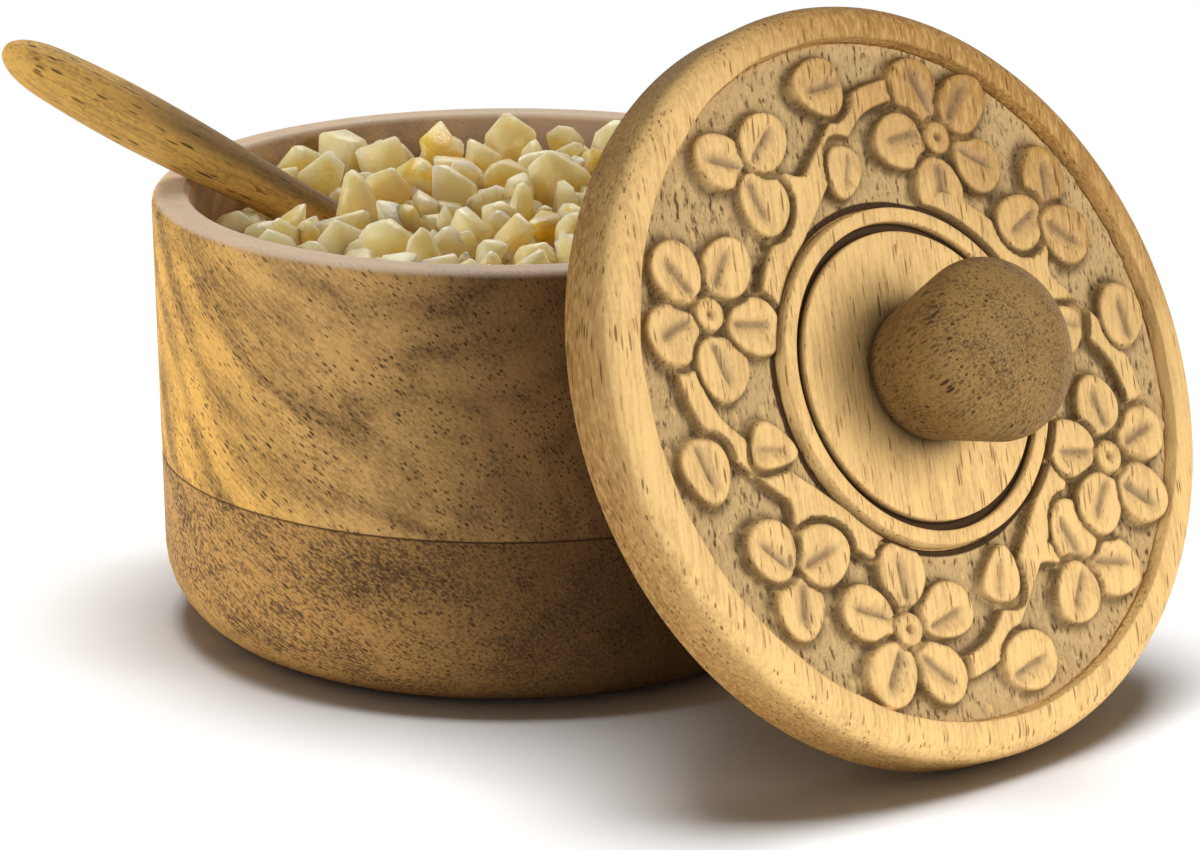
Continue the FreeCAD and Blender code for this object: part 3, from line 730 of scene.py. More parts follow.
def wall_rows(settings):
    """Profile of the upper board, from the seam up the mouth and down the outside to the seam."""
    mouth = POT_RADIUS - settings.wall
    seam = POT_RADIUS - settings.taper * (1 - POT_SEAM / POT_RIM)
    return rounded_rows((
        (mouth, POT_SEAM, 0), (mouth, POT_RIM, settings.mouth_round),
        (POT_RADIUS, POT_RIM, settings.rim_round), (seam, POT_SEAM, settings.seam_round),
        (mouth, POT_SEAM, 0)))[:-1]


def knob_rows(settings):
    """Half profile of the knob from its crown down to the end of its tenon, above the lid's face."""
    top = settings.shoulder + settings.crown
    return rounded_rows((
        (0.0, top, 0), (settings.crown_edge, top, settings.crown_round),
        (settings.radius, settings.shoulder, settings.shoulder_round), (settings.foot_radius, 0.0, 0),
        (settings.tenon_radius, 0.0, 0), (settings.tenon_radius, -settings.tenon_length, 0),
        (0.0, -settings.tenon_length, 0)))


# Carved lid: turns in degrees, ways from the middle, and stem stations as (degrees, millimetres)

MOTIF_TURNS = (61.0, 155.5, 245.2, 330.3)
MOTIF_PETAL_TURNS = (43.0, 36.0, 50.0, 45.0)
PETALS = 5
FLOWER_WAY = 38.3 * MM
FLOWER_REACH = 8.0 * MM
FLOWER_HEART = 2.8 * MM
BUD_TURN = 58.5
BUD_WAY = 40.0 * MM
BUD_REACH = 5.4 * MM
BUD_PETALS = (38.0, 160.0, 280.0)
LEAF_TURN = 31.5
LEAF_OUTER_WAY = 44.5 * MM
LEAF_INNER_WAY = 31.3 * MM
LEAF_OUTER_HEADING = 82.0
LEAF_INNER_HEADING = 150.0
LEAF_INNER_LAG = 1.5
VINE_WAY = (
    (8.0, 44.0), (14.0, 43.4), (22.6, 41.2), (29.7, 37.8), (39.1, 33.6),
    (51.2, 30.2), (62.0, 28.9), (74.0, 28.2), (86.0, 27.6))
BUD_STEM_WAY = ((45.0, 31.6), (50.0, 33.0), (53.5, 35.5), (56.5, 38.5))
STEM_TIP = 0.66
BUD_STEM_ROOT = 0.7
BUD_STEM_TIP = 0.5

# Cuts of the carver's tools: lengths, and shares of the field's depth or of a petal's half length and width

FLOOR_SHARE = 0.7
KNIFE_CUT = 0.6 * MM
CUT_WALL = 0.7 * MM
CHIP_SIZE = (1.9 * MM, 2.6 * MM)
FIBRE_SIZE = (0.6 * MM, 2.4 * MM)
FIBRE_SLICE = 7.0
STEM_SINK = 0.05 * MM
STEM_ROUND = 0.15 * MM
PETAL_CHANGE = (0.95, 1.06)
PETAL_SWING = 8
PETAL_RIPPLE = 0.035
PETAL_SINK = 0.2 * MM
PETAL_ROUND = 0.4 * MM
PETAL_FLAT = 0.78
PETAL_TILT = (-0.25 * MM, 0.25 * MM)
PETAL_NOD = (-0.1 * MM, 0.35 * MM)
PETAL_DITCH = 0.7
GOUGE_SHIFT = 0.18
GOUGE_SLANT = 0.12
GOUGE_HOLLOW = 0.6
GOUGE_STEEP = 0.1
GOUGE_START = 0.45
GOUGE_END = 0.75
GOUGE_FADE = 0.6
HEART_SINK = 0.35 * MM
HEART_ROUND = 0.5 * MM
HEART_DITCH = 0.6
PIT_WIDTH = 0.75 * MM
PIT_DEPTH = 1.2 * MM
HEIGHT_SOFTENING = 0.2


def polar(radius, degrees):
    """Point in the lid's plane."""
    angle = math.radians(degrees)
    return np.array((radius * math.cos(angle), radius * math.sin(angle)))


def soft(value):
    """Smooth step from 0 to 1."""
    value = np.clip(value, 0, 1)
    return value * value * (3 - 2 * value)


def smooth_way(points, steps=14):
    """Dense points on a smooth line through a few."""
    points = np.array(points)
    ends = np.vstack((2 * points[0] - points[1], points, 2 * points[-1] - points[-2]))
    share = np.linspace(0, 1, steps, endpoint=False)[:, None]
    runs = []
    for a, b, c, d in zip(ends, ends[1:], ends[2:], ends[3:]):
        square, cube = 2 * a - 5 * b + 4 * c - d, 3 * b - a - 3 * c + d
        runs.append(0.5 * (2 * b + (c - a) * share + square * share ** 2 + cube * share ** 3))
    return np.vstack(runs + [points[-1:]])


class Carving:
    """Relief of the lid's field, as heights below the face at points of its plane."""

    def __init__(self, plane, settings):
        self.plane = plane
        self.settings = settings
        self.depth = FLOOR_SHARE * settings.field_depth
        self.chance = random.Random(settings.seed)
        self.height = np.full(len(plane), -self.depth)
        self.hollow = np.zeros(len(plane))

    def rough_floor(self):
        """Tool marks and torn fibres on the floor of the field."""
        marks = np.empty(len(self.plane))
        for index, (x, y) in enumerate(self.plane):
            chip = Vector((x / CHIP_SIZE[0], y / CHIP_SIZE[1], 0.0))
            fibre = Vector((x / FIBRE_SIZE[0], y / FIBRE_SIZE[1], FIBRE_SLICE))
            marks[index] = noise.noise(chip) + noise.noise(fibre)
        self.height += self.settings.chisel * marks

    def vine(self, turn, way, first, last):
        """Flat-topped stem along its stations, with its width at the first and at the last of them."""
        line = smooth_way([polar(radius * MM, turn + degrees) for degrees, radius in way])
        near = np.full(len(self.plane), 1.0)
        half = np.full(len(self.plane), first / 2)
        for index, point in enumerate(line):
            away = np.hypot(*(self.plane - point).T)
            closer = away < near
            near[closer] = away[closer]
            half[closer] = (first + (last - first) * index / len(line)) / 2
        rise = soft((half - near) / CUT_WALL + 0.5)
        crown = -STEM_SINK - STEM_ROUND * np.clip(near / half, 0, 1) ** 6
        self.height = np.maximum(self.height, -self.depth + (crown + self.depth) * rise)

    def ditch(self, inside, share):
        """Knife cut outside an outline, down to a share of the field's depth."""
        cut = (inside <= 0) & (inside > -KNIFE_CUT)
        self.height[cut] = np.minimum(self.height[cut], -share * self.depth)

    def petal(self, centre, heading, long_share=1.0, wide_share=1.0, point=0.0, crease=1.0):
        """Petal with a gouge cut along it, hollow on one side of the cut and steep on the other."""
        chance = self.chance
        half_long = self.settings.petal_length / 2 * long_share * chance.uniform(*PETAL_CHANGE)
        half_wide = self.settings.petal_width / 2 * wide_share * chance.uniform(*PETAL_CHANGE)
        heading += chance.uniform(-PETAL_SWING, PETAL_SWING)
        away = self.plane - np.array(centre)
        along, aside = away @ polar(1, heading) / half_long, away @ polar(1, heading + 90) / half_wide
        aside = aside * (1 + point * np.clip(along, -1, 1))
        ripple = 1 + PETAL_RIPPLE * np.sin(3 * np.arctan2(aside, along) + chance.uniform(0, 6))
        out = np.hypot(along, aside) * ripple
        inside = (1 - out) * half_wide
        across = aside - chance.uniform(-GOUGE_SHIFT, GOUGE_SHIFT) - GOUGE_SLANT * along
        across = across * chance.choice((-1, 1))
        hollow = np.clip(1 - across / GOUGE_HOLLOW, 0, 1) ** 1.5
        steep = np.exp(-np.abs(across) / GOUGE_STEEP)
        ends = soft((along + 1) / GOUGE_START) * soft((GOUGE_END - along) / GOUGE_FADE)
        gouge = np.where(across > 0, hollow, steep) * ends
        edge = np.clip((out - PETAL_FLAT) / (1 - PETAL_FLAT), 0, 1) ** 2
        tilt = chance.uniform(*PETAL_TILT) * aside + chance.uniform(*PETAL_NOD) * along
        top = tilt - PETAL_SINK - PETAL_ROUND * edge - self.settings.petal_crease * crease * gouge
        body = -self.depth + (np.minimum(top, 0) + self.depth) * soft(inside / CUT_WALL + 0.35)
        self.ditch(inside, PETAL_DITCH)
        over = inside > 0
        skirt = (inside > -0.5 * CUT_WALL) & ~over
        self.height[over] = body[over]
        # Share of the painted sheen and shade in the gouge hollow.
        self.hollow[over] = (gouge * crease)[over]
        self.height[skirt] = np.maximum(self.height[skirt], body[skirt])

    def heart(self, centre):
        """Round heart of a flower, with a pit."""
        away = np.hypot(*(self.plane - np.array(centre)).T)
        inside = FLOWER_HEART - away
        pit = np.exp(-(away / PIT_WIDTH) ** 2)
        top = -HEART_SINK - HEART_ROUND * (away / FLOWER_HEART) ** 2 - PIT_DEPTH * pit
        self.ditch(inside, HEART_DITCH)
        over = inside > 0
        body = -self.depth + (top + self.depth) * soft(inside / CUT_WALL + 0.3)
        self.height[over] = body[over]

    def motif(self, turn, petal_turn):
        """One stem with its flower, bud and two leaves."""
        width = self.settings.vine_width
        self.vine(turn, VINE_WAY, width * STEM_TIP, width)
        self.vine(turn, BUD_STEM_WAY, width * BUD_STEM_ROOT, width * BUD_STEM_TIP)
        leaf = turn + LEAF_TURN
        self.petal(polar(LEAF_OUTER_WAY, leaf), leaf + LEAF_OUTER_HEADING, long_share=1.02, point=0.12)
        self.petal(
            polar(LEAF_INNER_WAY, leaf + LEAF_INNER_LAG), leaf + LEAF_INNER_HEADING,
            long_share=0.92, wide_share=0.78, point=0.4, crease=0.6)
        middle = polar(BUD_WAY, turn + BUD_TURN)
        for way in BUD_PETALS:
            heading = turn + BUD_TURN + way
            self.petal(middle + polar(BUD_REACH, heading), heading)
        middle = polar(FLOWER_WAY, turn)
        for step in range(PETALS):
            heading = turn + petal_turn + step * 360 / PETALS
            self.petal(middle + polar(FLOWER_REACH, heading), heading)
        self.heart(middle)

    def carve(self, ring):
        """Whole field, with a turned groove outside the ring."""
        self.rough_floor()
        for turn, petal_turn in zip(MOTIF_TURNS, MOTIF_PETAL_TURNS):
            self.motif(turn, petal_turn)
        grooved = np.hypot(*self.plane.T) < ring + self.settings.groove_width
        self.height[grooved] = np.minimum(self.height[grooved], -self.settings.groove_depth)
        grid = np.minimum(self.height, 0).reshape(FIELD_ROWS, -1)
        self.height = softened(grid, HEIGHT_SOFTENING).ravel()


FIELD_ROWS = 96
FIELD_MARGIN = 0.5 * MM
BORDER_SLOPE = 1.2 * MM
BOX_MARGIN = 0.02 * MM
TURNED_EDGE = 0.16 * MM
MEDALLION_STEPS = (0.25, 0.42, 0.45, 0.48, 0.52, 0.56, 0.61, 0.7, 0.82, 0.94)


def step_rows(radius, bottom, way):
    """Rows over a turned edge at the face, down to a bottom that lies outward (1) or inward (-1)."""
    edge = TURNED_EDGE
    rows = [
        (radius - way * 2 * edge, 0.0), (radius - way * edge, -0.3 * edge), (radius, -edge),
        (radius + way * 0.4 * edge, bottom + 1.5 * edge), (radius + way * 1.6 * edge, bottom)]
    return rows[::way]


def lid_rows(settings, knob):
    """Half profile of the lid from the knob's socket round to the end of its plug, and the field's rows."""
    ring_in = settings.medallion + settings.groove_width
    ring_out = ring_in + settings.ring_width
    edge = LID["radius"] - BOX_MARGIN
    border = LID["radius"] - settings.border
    rows = [(0.0, -knob.tenon_length), (knob.tenon_radius, -knob.tenon_length), (knob.tenon_radius, 0.0)]
    rows += [(settings.medallion * share, 0.0) for share in MEDALLION_STEPS]
    rows += step_rows(settings.medallion, -settings.groove_depth, 1)
    rows += step_rows(ring_in, -settings.groove_depth, -1)
    rows += step_rows(ring_out, -settings.field_depth, 1)
    start, end = ring_out + FIELD_MARGIN, border - FIELD_MARGIN
    field = slice(len(rows), len(rows) + FIELD_ROWS)
    rows += [(radius, -settings.field_depth) for radius in np.linspace(start, end, FIELD_ROWS)]
    rows += step_rows(border, -settings.field_depth, -1)
    rows += rounded_rows((
        (border + BORDER_SLOPE, 0.0, 0), (edge, 0.0, settings.face_round),
        (edge, -settings.thickness, settings.back_round), (settings.plug_radius, -settings.thickness, 0),
        (settings.plug_radius, -LID["height"], settings.plug_round), (0.0, -LID["height"], 0)))
    return rows, field


def split_along_walls(faces, heights):
    """Cut each four-cornered face along the diagonal whose ends differ less in height."""
    split = []
    for face in faces:
        if len(face) != 4:
            split.append(face)
            continue
        a, b, c, d = face
        if abs(heights[a] - heights[c]) <= abs(heights[b] - heights[d]):
            split += [(a, b, c), (a, c, d)]
        else:
            split += [(a, b, d), (b, c, d)]
    return split


def spread(heights, steps):
    """Mean of the heights round each point of a (row, spoke) grid."""
    total = np.zeros_like(heights)
    reach = range(-steps, steps + 1)
    for down in reach:
        rows = np.clip(np.arange(len(heights)) + down, 0, len(heights) - 1)
        for side in reach:
            total += np.roll(heights[rows], side, axis=1)
    return total / len(reach) ** 2


def softened(grid, share):
    """Grid with a share of the mean round each of its points."""
    return (1 - share) * grid + share * spread(grid, 1)


def put_attribute(mesh, name, values):
    """Keep a value from 0 to 1 for each point of a mesh."""
    attribute = mesh.attributes.new(name, "FLOAT", "POINT")
    attribute.data.foreach_set("value", np.clip(values, 0, 1).astype(np.float32))


def steepness(heights, radii):
    """Slope of a (row, spoke) grid of heights at its radii."""
    around = (np.roll(heights, -1, axis=1) - np.roll(heights, 1, axis=1)) / 2
    step = math.tau * radii[:, None] / heights.shape[1]
    return np.hypot(np.gradient(heights, radii, axis=0), around / step)


# Painted shade, in the corners partly real stain: how deep a corner or crease and how steep a wall is full of
# it, and how dark each gets; round the knob's foot a halo of painted shade, partly a scorch mark; the gouge
# hollows get a painted sheen and shade

CORNER_DEPTH = 0.8 * MM
CORNER_REACH = 4
CORNER_STAIN_AND_SHADE = 0.9
CREASE_DEPTH = 0.16 * MM
CREASE_SHADE = 0.6
WALL_SLOPES = (1.0, 2.8)
WALL_SHADE = 0.8
STAIN_AND_SHADE_SOFTENING = 0.4
HALO_WIDTH = 3.6 * MM
HALO_SCORCH_AND_SHADE = 0.85
CUT_DEPTHS = (0.78, 0.93)
HOLLOW_SHEEN_SHARE = 0.55


def between(values, low, high):
    """0 at low and 1 at high, and nothing beyond."""
    return np.clip((values - low) / (high - low), 0, 1)


def turned_stain_and_shade(points, settings, knob):
    """Share of dark stain in the turned groove, and round the knob's foot a halo of painted shade that is
    partly a scorch mark.
    """
    radius, depth = np.hypot(points[:, 0], points[:, 1]), -points[:, 2]
    groove = settings.medallion + settings.groove_width / 2
    deep = (np.abs(radius - groove) < 0.65 * settings.groove_width) & (depth > 0.2 * MM)
    stain = np.where(deep & (depth < settings.groove_depth + MM), 1.0, 0.0)
    # Halo of painted shade round the knob's foot, partly a scorch mark.
    halo = np.clip(1 - (radius - knob.foot_radius) / HALO_WIDTH, 0, 1) ** 1.6
    return np.maximum(stain, np.where((radius > knob.tenon_radius) & (depth == 0), HALO_SCORCH_AND_SHADE * halo, 0))


# Salt

CRYSTAL_CORNERS = 14
CRYSTAL_FLAT = math.radians(14)
CRYSTAL_WEAR = 0.14
CRYSTAL_SHARP = math.radians(50)
SALT_LAYERS = 3
SALT_NUMBERS = (
    "Radius", "Level", "Heap", "Slope", "Layer", "Spacing", "Smallest", "Largest", "Growth", "Spoon Room")
SALT_INPUTS = {
    **dict.fromkeys(SALT_NUMBERS, "Float"), "Seed": "Int",
    "Spoon": "Object", "Shapes": "Collection", "Material": "Material"}
DISC_CORNERS = 64
DENSITY_LIMIT = 90000.0
WALL_ROOM = 0.85
LAYER_START = 0.6
TONE_SEED = 50.0


def crystal_shapes(count, seed):
    """Broken crystals of unit size with worn edges, in a collection."""
    chance = random.Random(seed)
    shapes = bpy.data.collections.new("crystal shapes")
    for number in range(count):
        form = bmesh.new()
        stretch = Vector((1.0, chance.uniform(0.65, 0.95), chance.uniform(0.45, 0.75)))
        for corner in range(CRYSTAL_CORNERS):
            way = Vector([chance.gauss(0, 1) for axis in range(3)]).normalized()
            form.verts.new(way * chance.uniform(0.8, 1.0) * stretch)
        hull = bmesh.ops.convex_hull(form, input=form.verts)
        loose = hull["geom_interior"] + hull["geom_unused"]
        spare = {item for item in loose if isinstance(item, bmesh.types.BMVert)}
        bmesh.ops.delete(form, geom=list(spare), context="VERTS")
        bmesh.ops.dissolve_limit(form, angle_limit=CRYSTAL_FLAT, verts=form.verts, edges=form.edges)
        bmesh.ops.bevel(
            form, geom=form.edges, offset=CRYSTAL_WEAR, segments=1, profile=0.5, affect="EDGES",
            clamp_overlap=True)
        for vertex in form.verts:
            vertex.co *= min(1, 1 / vertex.co.length)
        bmesh.ops.recalc_face_normals(form, faces=form.faces)
        mesh = bpy.data.meshes.new(f"crystal shape {number}")
        form.to_mesh(mesh)
        form.free()
        mesh.polygons.foreach_set("use_smooth", np.ones(len(mesh.polygons), bool))
        mesh.set_sharp_from_angle(angle=CRYSTAL_SHARP)
        shapes.objects.link(bpy.data.objects.new(mesh.name, mesh))
    return shapes


def chance_of(tree, kind, seed, **limits):
    """Random value between limits."""
    node = add(tree, "FunctionNodeRandomValue", {"Seed": seed}, data_type=kind)
    sockets = {socket.name: socket for socket in node.inputs if socket.enabled}
    for key, value in limits.items():
        plug(tree, sockets[key], value)
    return next(socket for socket in node.outputs if socket.enabled)


def salt_layer(tree, given, spoon, shapes, layer):
    """One layer of crystals strewn on the heap, clear of the spoon."""
    seed = math_of(tree, "ADD", given["Seed"], float(layer))
    larger = math_of(tree, "MULTIPLY_ADD", given["Growth"], float(layer), 1.0)
    smallest, largest, spacing = (
        times(tree, given[name], larger) for name in ("Smallest", "Largest", "Spacing"))
    reach = math_of(tree, "MULTIPLY_ADD", largest, -WALL_ROOM, given["Radius"])
    disc = add(
        tree, "GeometryNodeMeshCircle", {"Vertices": DISC_CORNERS, "Radius": reach}, fill_type="TRIANGLE_FAN")
    spots = add(tree, "GeometryNodeDistributePointsOnFaces", {
        "Mesh": disc.outputs[0], "Distance Min": spacing, "Density Max": DENSITY_LIMIT, "Seed": seed},
        distribute_method="POISSON").outputs["Points"]
    place = add(tree, "GeometryNodeInputPosition").outputs[0]
    share = math_of(tree, "DIVIDE", vector_of(tree, "LENGTH", place, output="Value"), given["Radius"])
    crest = math_of(tree, "SUBTRACT", 1.0, times(tree, share, share))
    height = math_of(tree, "MULTIPLY_ADD", axes_of(tree, place)["Y"], given["Slope"], given["Level"])
    height = math_of(tree, "MULTIPLY_ADD", crest, given["Heap"], height)
    height = math_of(tree, "MULTIPLY_ADD", given["Layer"], layer + LAYER_START, height)
    offset = add(tree, "ShaderNodeCombineXYZ", {2: height}).outputs[0]
    spots = add(tree, "GeometryNodeSetPosition", {"Geometry": spots, "Offset": offset}).outputs[0]
    near = add(tree, "GeometryNodeProximity", {"Geometry": spoon}, target_element="FACES").outputs["Distance"]
    close = add(tree, "FunctionNodeCompare", {0: near, 1: given["Spoon Room"]}, operation="LESS_THAN")
    spots = add(tree, "GeometryNodeDeleteGeometry", {
        "Geometry": spots, "Selection": close.outputs[0]}).outputs[0]
    turn = chance_of(tree, "FLOAT_VECTOR", seed, Max=(math.tau, math.tau, math.tau))
    size = chance_of(tree, "FLOAT", seed, Min=smallest, Max=largest)
    crystals = add(tree, "GeometryNodeInstanceOnPoints", {
        "Points": spots, "Instance": shapes, "Pick Instance": True, "Rotation": turn, "Scale": size})
    tone = chance_of(tree, "FLOAT", math_of(tree, "ADD", seed, TONE_SEED))
    return add(tree, "GeometryNodeStoreNamedAttribute", {
        "Geometry": crystals.outputs[0], "Name": "tone", "Value": tone},
        data_type="FLOAT", domain="INSTANCE").outputs[0]


def salt_tree():
    """Geometry Nodes tree of the crystal heap."""
    tree, given = new_tree("salt heap", "GeometryNodeTree", SALT_INPUTS, {"Geometry": "Geometry"})
    spoon = add(tree, "GeometryNodeObjectInfo", {"Object": given["Spoon"]}).outputs["Geometry"]
    shapes = add(tree, "GeometryNodeCollectionInfo", {
        "Collection": given["Shapes"], "Separate Children": True, "Reset Children": True}).outputs[0]
    heap = add(tree, "GeometryNodeJoinGeometry")
    for layer in range(SALT_LAYERS):
        tree.links.new(salt_layer(tree, given, spoon, shapes, layer), heap.inputs[0])
    real = add(tree, "GeometryNodeRealizeInstances", {0: heap.outputs[0]}).outputs[0]
    done = add(tree, "GeometryNodeSetMaterial", {"Geometry": real, "Material": given["Material"]}).outputs[0]
    add(tree, "NodeGroupOutput", {0: done})
    return tree


def made_mesh(piece, tree, inputs):
    """Plain mesh that a Geometry Nodes tree gives on a piece, with the modifier taken off again."""
    modifier = piece.modifiers.new(tree.name, "NODES")
    modifier.node_group = tree
    for socket in tree.interface.items_tree:
        if socket.in_out == "INPUT":
            modifier[socket.identifier] = inputs[socket.name]
    bpy.context.view_layer.update()
    seen = bpy.context.evaluated_depsgraph_get()
    mesh = bpy.data.meshes.new_from_object(piece.evaluated_get(seen))
    piece.modifiers.remove(modifier)
    return mesh


# Operators

class SALTBOX_OT_pot(bpy.types.Operator):
    """Turn the pot's two boards"""

    bl_idname = "saltbox.pot"
    bl_label = "Pot"

    def execute(self, context):
        settings, finish = context.scene.saltbox_pot, context.scene.saltbox_finish
        points, faces, _ = lathe(base_rows(settings), settings.spokes)
        base = new_piece("lower_board", points, faces, lower_board(finish), sharp=TURNED_SHARP)
        dress(base, "pot", "pot_base")
        points, faces, starts = lathe(wall_rows(settings), settings.spokes)
        faces += ring_faces(starts, settings.spokes)
        wall = new_piece("upper_board", points, faces, upper_board(finish), sharp=TURNED_SHARP)
        dress(wall, "pot", "pot_wall")
        return {"FINISHED"}


WANDER_REACH = 0.45 * MM
WANDER_SIZE = 9 * MM
WANDER_SLICE = 3.0


def lid_to_world(points):
    """Points of the lid's own plane in the world."""
    return points @ np.array(LID["turn"]).T + np.array(LID["centre"])


class SALTBOX_OT_lid(bpy.types.Operator):
    """Turn and carve the lid"""

    bl_idname = "saltbox.lid"
    bl_label = "Lid"

    def execute(self, context):
        settings, knob = context.scene.saltbox_lid, context.scene.saltbox_knob
        rows, field = lid_rows(settings, knob)
        points, faces, starts = lathe(rows, settings.spokes)
        self.wander(points, settings)
        carved = slice(starts[field.start], starts[field.stop])
        carving = Carving(points[carved, :2], settings)
        ring = settings.medallion + settings.groove_width + settings.ring_width
        carving.carve(ring)
        points[carved, 2] = carving.height
        shares = self.shares(points, carved, carving, ring, settings)
        shares["stain"] = np.maximum(shares["stain"], turned_stain_and_shade(points, settings, knob))
        faces = split_along_walls(faces, points[:, 2])
        piece = new_piece("carved_lid", lid_to_world(points), faces, lid_wood(context.scene.saltbox_finish))
        for name, share in shares.items():
            put_attribute(piece.data, name, share)
        dress(piece, "lid", "lid")
        return {"FINISHED"}

    def shares(self, points, carved, carving, ring, settings):
        """Shares of rough floor, painted sheen and shade in the gouge cuts, and painted shade and stain over
        the lid.
        """
        shares = {name: np.zeros(len(points)) for name in ("cut", "hollow", "stain")}
        heights = carving.height.reshape(-1, settings.spokes)
        radii = np.hypot(*carving.plane.T)
        corner = np.clip((spread(heights, CORNER_REACH) - heights) / CORNER_DEPTH, 0, 1)
        crease = np.clip((spread(heights, 1) - heights) / CREASE_DEPTH, 0, 1)
        wall = between(steepness(heights, radii[::settings.spokes]), *WALL_SLOPES)
        # Painted shade in corners, creases and on steep walls, in the corners partly real stain.
        stain = np.maximum(np.maximum(CORNER_STAIN_AND_SHADE * corner, CREASE_SHADE * crease), WALL_SHADE * wall)
        stain = softened(stain, STAIN_AND_SHADE_SOFTENING).ravel()
        groove = (radii < ring + settings.groove_width) & (carving.height < -0.5 * settings.groove_depth)
        shares["stain"][carved] = np.where(groove, 1.0, stain)
        shares["cut"][carved] = between(-carving.height / carving.depth, *CUT_DEPTHS)
        # Painted sheen and shade in the gouge hollows.
        shares["hollow"][carved] = HOLLOW_SHEEN_SHARE * carving.hollow
        return shares

    def wander(self, points, settings):
        """Let the border's inner wall wander as a hand-cut one does."""
        border = LID["radius"] - settings.border
        radius = np.hypot(points[:, 0], points[:, 1])
        near = (np.abs(radius - border) < WANDER_REACH) & (points[:, 2] > -settings.thickness + MM)
        for index in np.flatnonzero(near):
            way = Vector(points[index]) / WANDER_SIZE
            shift = settings.wander * noise.noise(Vector((way.x, way.y, WANDER_SLICE)))
            points[index, :2] *= 1 + shift / radius[index]


class SALTBOX_OT_knob(bpy.types.Operator):
    """Turn the knob"""

    bl_idname = "saltbox.knob"
    bl_label = "Knob"

    def execute(self, context):
        settings = context.scene.saltbox_knob
        points, faces, _ = lathe(knob_rows(settings), settings.spokes)
        material = knob_wood(context.scene.saltbox_finish)
        piece = new_piece("turned_knob", lid_to_world(points), faces, material, sharp=TURNED_SHARP)
        dress(piece, "lid", "knob")
        return {"FINISHED"}


DOUBLES = 0.01 * MM


class SALTBOX_OT_spoon(bpy.types.Operator):
    """Smooth and finish the spoon"""

    bl_idname = "saltbox.spoon"
    bl_label = "Spoon"

    def execute(self, context):
        form = bmesh.new()
        form.from_mesh(frame["nodes"]["spoon"].data)
        bmesh.ops.remove_doubles(form, verts=form.verts, dist=DOUBLES)
        bmesh.ops.recalc_face_normals(form, faces=form.faces)
        points = [vertex.co.copy() for vertex in form.verts]
        faces = [[vertex.index for vertex in face.verts] for face in form.faces]
        form.free()
        material = spoon_wood(context.scene.saltbox_finish)
        piece = new_piece("spoon_smooth", points, faces, material, sharp=SPOON_SHARP)
        dress(piece, "spoon", "spoon")
        return {"FINISHED"}


class SALTBOX_OT_salt(bpy.types.Operator):
    """Strew the salt crystals"""

    bl_idname = "saltbox.salt"
    bl_label = "Salt"

    def execute(self, context):
        settings = context.scene.saltbox_salt
        material = salt_crystal(context.scene.saltbox_finish)
        bed = frame["nodes"]["salt_bed"]
        bed.data.materials.clear()
        bed.data.materials.append(material)
        piece = bpy.data.objects.new("loose_salt", bpy.data.meshes.new("loose_salt"))
        context.scene.collection.objects.link(piece)
        piece.data = made_mesh(piece, salt_tree(), {
            "Radius": SALT_RADIUS, "Level": SALT_LEVEL, "Heap": settings.heap, "Slope": settings.slope,
            "Layer": settings.layer, "Spacing": settings.spacing, "Smallest": settings.smallest,
            "Largest": settings.largest, "Growth": settings.growth, "Spoon Room": settings.spoon_room,
            "Seed": settings.seed,
            "Spoon": frame["nodes"]["spoon"], "Shapes": crystal_shapes(settings.shapes, settings.seed),
            "Material": material})
        if not piece.data.vertices:
            raise RuntimeError("the salt heap came out empty")
        dress(piece, "pot", "salt_crystals")
        return {"FINISHED"}


# Lamps: name, power setting, size, degrees to the right of the camera and above the table, what it lights

LAMPS = (
    ("right softbox", "right_power", 0.5, 50, 14, "pot"),
    ("left softbox", "left_power", 0.5, -76, 18, "pot"),
    ("back softbox", "back_power", 0.5, 178, 50, "pot"),
    ("lid softbox", "lid_power", 0.4, 58, 22, "lid"),
    ("lid fill", "lid_fill", 0.5, -30, 16, "lid"),
    ("floor softbox", "floor_power", 0.6, 178, 87, "floor"),
)
LAMP_AIM = Vector((0.02, -0.02, 0.04))
LAMP_DISTANCE = 0.9
FLOOR_HALF = 0.22
FLOOR_SHADER = {"Base Color": (0.86, 0.86, 0.86, 1), "Roughness": 0.9, "Specular IOR Level": 0.0}
CLIP_START = 0.01
CLIP_END = 50.0


def softbox(name, power, size, turn, rise, pieces):
    """Square area lamp that lights only the given pieces."""
    turn, rise = math.radians(turn), math.radians(rise)
    way = Vector((math.sin(turn) * math.cos(rise), -math.cos(turn) * math.cos(rise), math.sin(rise)))
    lamp = bpy.data.lights.new(name, "AREA")
    lamp.energy = power
    lamp.shape = "SQUARE"
    lamp.size = size
    holder = bpy.data.objects.new(name, lamp)
    holder.location = LAMP_AIM + way * LAMP_DISTANCE
    holder.rotation_euler = (-way).to_track_quat("-Z", "Y").to_euler()
    bpy.context.scene.collection.objects.link(holder)
    lit = bpy.data.collections.new(f"lit by {name}")
    for piece in pieces:
        lit.objects.link(piece)
    holder.light_linking.receiver_collection = lit


